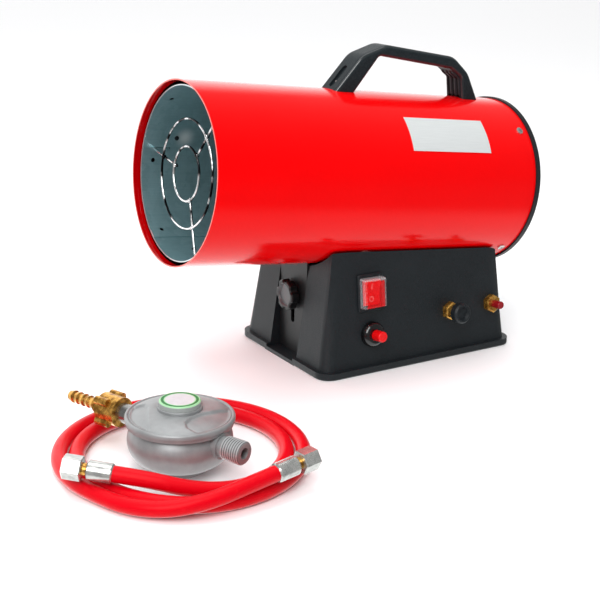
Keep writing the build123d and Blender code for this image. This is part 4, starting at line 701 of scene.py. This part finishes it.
def piece(name, mesh, body, finish, edge=35.0):
    """Makes an object of a finished bmesh, soft-shaded up to an edge angle, riding on a body."""
    data = bpy.data.meshes.new(name)
    mesh.to_mesh(data)
    mesh.free()
    data.materials.append(finish.material)
    data.shade_smooth()
    data.set_sharp_from_angle(angle=radians(edge))
    obj = bpy.data.objects.new(name, data)
    scene.collection.objects.link(obj)
    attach(obj, body)
    return obj


# %% [markdown]
# A screw head has a crossed recess. It could be cut with a boolean, but a small grid does it with
# less mess: a 7 by 7 grid is pulled into a round dome, the faces under the cross are pushed in, and
# the rim is extruded down to the seat. Every screw in the heater is a copy of this head at its own
# size and turn.

# %% Cross-head screws
def screw_head(mesh, radius, height, dome, place):
    """Adds one cross-head screw head, whose seat is at the place's origin."""
    cells = 7
    arm_half_width, arm_half_length = 1.0 / cells, 5.0 / cells
    skirt_foot = -0.0006
    recess_depth, recess_taper = 0.55 * (height + dome), 0.82
    verts = bmesh.ops.create_grid(mesh, x_segments=cells, y_segments=cells, size=1.0)["verts"]
    faces = {face for vert in verts for face in vert.link_faces}
    cross = []
    for face in faces:
        centre = face.calc_center_median()
        near, far = sorted((abs(centre.x), abs(centre.y)))
        if near < arm_half_width and far < arm_half_length:
            cross.append(face)
    for vert in verts:
        reach = max(abs(vert.co.x), abs(vert.co.y))
        length = vert.co.xy.length or 1.0
        flat = vert.co.xy * (reach / length * radius)
        vert.co = (flat.x, flat.y, height + dome * (1.0 - reach * reach))
    rim = [edge for edge in {edge for face in faces for edge in face.edges} if edge.is_boundary]
    skirt = bmesh.ops.extrude_edge_only(mesh, edges=rim)["geom"]
    foot = [item for item in skirt if isinstance(item, bmesh.types.BMVert)]
    for vert in foot:
        vert.co.z = skirt_foot
    pushed = bmesh.ops.extrude_face_region(mesh, geom=cross)["geom"]
    bmesh.ops.delete(mesh, geom=cross, context="FACES_ONLY")
    floor_verts = [item for item in pushed if isinstance(item, bmesh.types.BMVert)]
    bmesh.ops.scale(mesh, verts=floor_verts, vec=(recess_taper, recess_taper, 1.0))
    bmesh.ops.translate(mesh, verts=floor_verts, vec=(0, 0, -recess_depth))
    whole_head = list(set(verts) | set(foot) | set(floor_verts))
    bmesh.ops.transform(mesh, matrix=place, verts=whole_head)


def screws(name, node, body, size, places, finish=zinc_plate):
    """Screws of one size (radius, height, dome) as one piece that stands for a node."""
    first_turn, turn_between = 12.0, 37.0
    mesh = bmesh.new()
    for number, place in enumerate(places):
        left_at = Matrix.Rotation(radians(turn_between * number + first_turn), 4, "Z")
        screw_head(mesh, *size, place @ left_at)
    bmesh.ops.recalc_face_normals(mesh, faces=mesh.faces)
    obj = piece(name, mesh, body, finish)
    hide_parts(node)


rear_screw_station = 0.355
chamber_screw_stations = (0.0403, 0.214)
screws("rear_screw_heads", "rear_screws", "tube", (0.0036, 0.0011, 0.0008),
       [on_tube(rear_screw_station, 45.0 + 90.0 * number, shell_radius) for number in range(4)])
screws("chamber_screw_heads", "chamber_screws", "tube", (0.0022, 0.0008, 0.0006),
       [on_tube(station, 15.3 + 90.0 * number, chamber_inner, outward=False)
        for station in chamber_screw_stations for number in range(4)], scorched)
plate_x, plate_y, plate_seat = 0.104, 0.0675, 0.0010
screws("bottom_screw_heads", "bottom_screws", "base", (0.0036, 0.0008, 0.0001),
       [standing(Vector((x, y, plate_seat)), Vector((0, 0, -1)), Vector((1, 0, 0)))
        for x in (-plate_x, plate_x) for y in (-plate_y, plate_y)])
print("screws: 4 behind,", 4 * len(chamber_screw_stations), "in the chamber and 4 below")

# %% [markdown]
# Turned pieces start as a line of points beside an axis and are spun round it. A thread seen from
# outside is a row of fine V-shaped ridges; a true helix has a slope that nobody sees at this size,
# so the ridges are rings. The grooves are darkened as painted shade, so the finish goes by the
# distance from the outlet's axis.

# %% Turned pieces and the outlet's thread
def spun(outline, steps):
    """A new bmesh: an outline of (along, radius) points spun once round the Z axis."""
    mesh = bmesh.new()
    verts = [mesh.verts.new((radius, 0.0, along)) for along, radius in outline]
    edges = [mesh.edges.new(pair) for pair in zip(verts, verts[1:])]
    bmesh.ops.spin(mesh, geom=verts + edges, cent=(0, 0, 0), axis=(0, 0, 1), angle=2 * pi,
                   steps=steps, use_merge=True)
    bmesh.ops.remove_doubles(mesh, verts=mesh.verts, dist=1e-6)
    bmesh.ops.recalc_face_normals(mesh, faces=mesh.faces)
    return mesh


def ridges(start, count, pitch, root, crest):
    """Points of a thread's side: straight flanks from root to crest and back."""
    return [(start + pitch * (number / 2), crest if number % 2 else root)
            for number in range(2 * count + 1)]


inlet_turn = set_angle + radians(145.0)
inlet_way = Vector((cos(inlet_turn), sin(inlet_turn), 0.0))
regulator_middle = on_set(0.0, -0.016, 0.0)
port_middle = regulator_middle + Vector((0, 0, 0.030))
outlet_place = standing(port_middle, -inlet_way, Vector((0, 0, 1)))
thread_root, thread_crest = 0.0084, 0.0097
thread_line = ridges(start=0.0473, count=8, pitch=0.0022, root=thread_root, crest=thread_crest)
thread_mesh = spun(thread_line, steps=72)
bmesh.ops.transform(thread_mesh, matrix=outlet_place, verts=thread_mesh.verts)
thread_finish = Finish("shaded_groove_thread")
# Painted shade: the thread's grooves are dark and its crests pale.
unshaded_crests = thread_finish.step(from_axis(thread_finish, port_middle, inlet_way), low=0.0085, high=0.0094)
thread_finish.set(
    Base_Color=thread_finish.mix(unshaded_crests, shade(58, 60, 62), shade(204, 206, 207)),
    Metallic=0.5,
    Roughness=thread_finish.noise(0.001) * 0.12 + 0.34,
    Normal=thread_finish.relief(thread_finish.noise(0.001), 0.00002),
)
piece("outlet_thread", thread_mesh, "regulator", thread_finish, edge=15.0)
print("the thread's crests are", round(2000 * thread_crest, 1), "mm across")

# %% [markdown]
# The regulator's cover is a pressed dome with a rolled rim. Its two shallow pockets could be
# modelled as separate surfaces, but pressing sheet metal is exactly a move of points: the dome is
# spun with close rings, and every point beyond a pocket's outline sinks a little, with a soft step
# at the outline.

# %% Regulator cover
def beyond(point, outline):
    """How far a point lies to the right of a line of points, as a signed distance."""
    best = None
    for first, second in zip(outline, outline[1:]):
        along = second - first
        share = min(max((point - first).dot(along) / along.length_squared, 0.0), 1.0)
        gap = point - (first + along * share)
        side = along.x * gap.y - along.y * gap.x
        if best is None or gap.length < abs(best):
            best = -gap.length if side > 0 else gap.length
    return best


rim_radius = 0.0440
neck_radius = 0.0182
dome_edge = rim_radius - 0.0035
dome_top = 0.0510
dome_drop = 0.0055
dome_curve = ((dome_edge - neck_radius) ** 2 + dome_drop**2) / (2 * dome_drop)
dome_rings = 30
neck = [(0.0530, 0.0134), (0.0535, 0.0139), (0.0535, neck_radius - 0.0004), (0.0531, neck_radius)]
dome = []
for ring in range(dome_rings + 1):
    out = (dome_edge - neck_radius) * ring / dome_rings
    dome.append((dome_top - dome_curve + sqrt(dome_curve**2 - out**2), neck_radius + out))
rolled_rim = [(height, rim_radius + out) for height, out in (
    (0.0449, -0.0032), (0.0457, -0.0026), (0.0460, -0.0018), (0.0458, -0.0009),
    (0.0451, -0.0003), (0.0441, 0.0), (0.0420, 0.0))]
cover_mesh = spun(neck + dome + rolled_rim, steps=216)
pocket_depth = 0.0020
pocket_outlines = (
    ((-1.11, 0.21), (-0.85, 0.255), (-0.66, 0.21), (-0.585, 0.04), (-0.555, -0.28),
     (-0.51, -0.55), (-0.425, -0.85)),
    ((0.64, -0.98), (0.38, -0.82), (0.20, -0.735), (0.153, -0.605), (0.235, -0.405),
     (0.405, -0.225), (0.615, -0.065), (0.785, 0.115), (0.895, 0.32)),
)
pockets = [[Vector(point) * rim_radius for point in outline] for outline in pocket_outlines]
for vert in cover_mesh.verts:
    reach = vert.co.xy.length
    past_neck = soft_step(reach, neck_radius, neck_radius + 0.0023)
    before_rim = 1.0 - soft_step(reach, dome_edge - 0.0028, dome_edge)
    sunk = max(soft_step(beyond(vert.co.xy, outline), -0.0009, 0.0013) for outline in pockets)
    vert.co.z -= pocket_depth * sunk * past_neck * before_rim
cover_place = set_turn.to_4x4()
cover_place.translation = regulator_middle
bmesh.ops.transform(cover_mesh, matrix=cover_place, verts=cover_mesh.verts)
cover = piece("pressed_cover", cover_mesh, "regulator", diecast, edge=40.0)
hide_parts("regulator_cover")
print("the cover has", len(cover.data.polygons), "faces")

# %% [markdown]
# The grip's inner face carries four smooth ribs that run up round the corner, with grooves between
# them. Each rib is a low half-round section carried along the face's line; it rises from nothing at
# one end and sinks back at the other.

# %% Ribs in the hand grip
def grip_line(steps):
    """Points of (station, height) up the rear leg's inner face and round its corner, each with its
    outward direction."""
    foot, corner = Vector((0.31315, 0.0870)), Vector((0.3090, 0.1050))
    top = Vector((0.2995, 0.11043))
    turn_start, turn_end, leg_share = 0.8, 1.3, 0.9
    first, last = foot.lerp(corner, turn_start / leg_share), corner.lerp(top, turn_end - 1.0)
    points = []
    for number in range(steps + 1):
        share = 2.0 * number / steps
        if share <= turn_start:
            point = foot.lerp(corner, share / leg_share)
        elif share >= turn_end:
            point = corner.lerp(top, share - 1.0)
        else:
            turn = (share - turn_start) / (turn_end - turn_start)
            point = first.lerp(corner, turn).lerp(corner.lerp(last, turn), turn)
        points.append(point)
    outward = []
    for number in range(steps + 1):
        along = points[min(number + 1, steps)] - points[max(number - 1, 0)]
        outward.append(Vector((-along.y, along.x)).normalized())
    return list(zip(points, outward))


rib_steps = 28
rib_height = 0.0011
rib_sink = 0.0001
rib_sheet = 0.0005
rib_places = ((-0.0090, 0.0012), (-0.00325, 0.0020), (0.00325, 0.0020), (0.0090, 0.0012))
rib_line = grip_line(rib_steps)
rib_mesh = bmesh.new()
for middle, half_width in rib_places:
    verts = bmesh.ops.create_grid(rib_mesh, x_segments=10, y_segments=rib_steps, size=1.0)["verts"]
    rib_faces = list({face for vert in verts for face in vert.link_faces})
    for vert in verts:
        across, number = vert.co.x, round((vert.co.y + 1.0) / 2 * rib_steps)
        point, out = rib_line[number]
        near_end = soft_step(min(number, rib_steps - number), -0.5, 4.0)
        rise = rib_height * near_end * sqrt(max(1.0 - across**2, 0.0))
        point = point + out * (rise - rib_sink)
        aside = Vector((0, middle + half_width * across, 0))
        vert.co = tube_front + tube_back * point.x + tube_up * point.y + aside
    bmesh.ops.solidify(rib_mesh, geom=rib_faces, thickness=rib_sheet)
bmesh.ops.recalc_face_normals(rib_mesh, faces=rib_mesh.faces)
rib_black = Finish("rib_plastic")
rib_black.set(
    Base_Color=rib_black.mix(rib_black.noise(0.001), shade(34, 38, 41), shade(46, 51, 54)),
    Roughness=rib_black.noise(0.001) * 0.2 + 0.36,
    Specular_IOR_Level=0.20,
    Normal=rib_black.relief(rib_black.noise(0.001), 0.00003),
)
piece("grip_ribs", rib_mesh, "tube", rib_black, edge=50.0)
print("ribs:", len(rib_places))

# %% [markdown]
# The guard's rings are resistance-welded to its spokes, which leaves a small bead at each crossing.
# A squashed ball at every crossing is enough.

# %% Weld beads on the guard
guard_station = 0.0150
guard_rings = (0.025, 0.050)
spokes, spoke_start = 3, 38.0
bead_radius = 0.0021
squash = Matrix.Diagonal((1.15, 1.0, 1.0, 1.0))
bead_mesh = bmesh.new()
for ring in guard_rings:
    for number in range(spokes):
        place = on_tube(guard_station, spoke_start + 360.0 / spokes * number, ring)
        bmesh.ops.create_icosphere(bead_mesh, subdivisions=3, radius=bead_radius,
                                   matrix=place @ squash)
piece("guard_weld_beads", bead_mesh, "tube", chrome_wire)
print("beads:", spokes * len(guard_rings))

# %% [markdown]
# The rocker carries two moulded marks, a bar above and a ring below. Both are masks: the bar lies
# within a short distance of a point in two directions, and the ring is a band of distances from its
# middle. A low emission stands for the small lamp inside.

# %% Switch rocker
rocker_red = Finish("lit_red_rocker")
bar_z, ring_z = 0.0852, 0.0726
bar_half_width, bar_half_height = 0.0008, 0.0027
ring_inner, ring_outer = 0.0017, 0.0029
across_bar = away_from(rocker_red, (switch_x, 0.0, 0.0), (1.0, 0.0, 0.0)) < bar_half_width
along_bar = away_from(rocker_red, (0.0, 0.0, bar_z), (0.0, 0.0, 1.0)) < bar_half_height
from_ring = away_from(rocker_red, (switch_x, 0.0, ring_z), (1.0, 0.0, 1.0))
bar_mark = across_bar * along_bar
ring_mark = band(rocker_red, from_ring, ring_inner, ring_outer, soft=0.0001)
rocker_marks = bar_mark + ring_mark
rocker_red.set(
    Base_Color=rocker_red.mix(rocker_marks, shade(222, 6, 12), shade(250, 226, 220)),
    Roughness=rocker_red.noise(0.002, detail=3.0) * 0.12 + 0.18,
    Emission_Color=shade(255, 20, 20),
    Emission_Strength=0.18,
    Normal=rocker_red.relief(rocker_red.noise(0.003), 0.00003),
)

# %% [markdown]
# The regulator's cap has a pale face inside a green ring, a paler green on both sides of the ring,
# and a plain grey side. The ring is pressed in a little, so the same mask also feeds the bump.

# %% Regulator cap
cap_face = Finish("regulator_cap_face")
from_middle = away_from(cap_face, tuple(regulator_middle), (1.0, 1.0, 0.0))
green_ring = band(cap_face, from_middle, low=0.0128, high=0.0151, soft=0.0002)
pale_green = cap_face.step(from_middle, low=0.0116, high=0.0122)
cap_top_edge = 0.0572
below_top = away_from(cap_face, (0.0, 0.0, 0.0), (0.0, 0.0, 1.0)) < cap_top_edge
face_tone = cap_face.mix(cap_face.noise(0.005), shade(186, 180, 184), shade(206, 202, 206))
face_tone = cap_face.mix(pale_green, face_tone, shade(150, 200, 152))
face_tone = cap_face.mix(green_ring, face_tone, shade(20, 112, 50))
face_tone = cap_face.mix(below_top, face_tone, shade(150, 154, 152))
cap_face.set(
    Base_Color=face_tone,
    Roughness=cap_face.noise(0.002) * 0.2 + 0.28,
    Normal=cap_face.relief(green_ring * -0.6 + cap_face.noise(0.002) * 0.2, 0.0002),
)

# %% [markdown]
# Every node that comes from the model keeps its shape and only changes its material slots. A table
# from finish to node names says at a glance what is made of what.

# %% Dress the model's own pieces
made_of = {
    red_enamel: ["outer_shell"],
    galvanised: ["inner_chamber", "flame_baffle", "motor_bracket"],
    black_grain: ["base_housing", "rear_trim_ring", "fan", "switch_frame", "valve_knob"],
    handle_black: ["handle"],
    knob_black: ["clamp_knob"],
    black_gloss: ["switch_body", "igniter_collar", "igniter_body", "cable_gland",
                  "overheat_thermostat"],
    black_powder: ["rear_grille", "tilt_bracket", "tube_lugs", "bottom_plate"],
    zinc_plate: ["handle_screws", "ferrule_a", "ferrule_b", "hose_nut_a", "hose_nut_b"],
    chrome_wire: ["front_guard"],
    ground_steel: ["tilt_pin", "clamp_stud", "fan_shaft", "inlet_stub"],
    brass: ["burner_nozzle", "valve_nut", "valve_body", "inlet_fitting", "hose_nipple_a",
            "hose_nipple_b", "wing_nut", "hose_barb"],
    copper: ["burner_pipe", "supply_pipe", "thermocouple"],
    burner_steel: ["burner_cup"],
    diecast: ["regulator_body"],
    cap_face: ["regulator_cap"],
    rocker_red: ["rocker"],
    foil: ["label_plate"],
    red_gloss: ["igniter_button"],
    cap_rubber: ["inlet_cap"],
    ceramic: ["spark_electrode"],
    cream_block: ["terminal_block"],
    motor_grey: ["fan_motor"],
    clear_cover: ["rocker_cover"],
}
dressed = set()
for finish, names in made_of.items():
    for name in names:
        for slot in nodes[name].material_slots:
            slot.material = finish.material
        dressed.add(name)
hose_curve.materials.append(red_hose.material)
print("dressed", len(dressed), "pieces; made here instead:", sorted(set(nodes) - dressed))
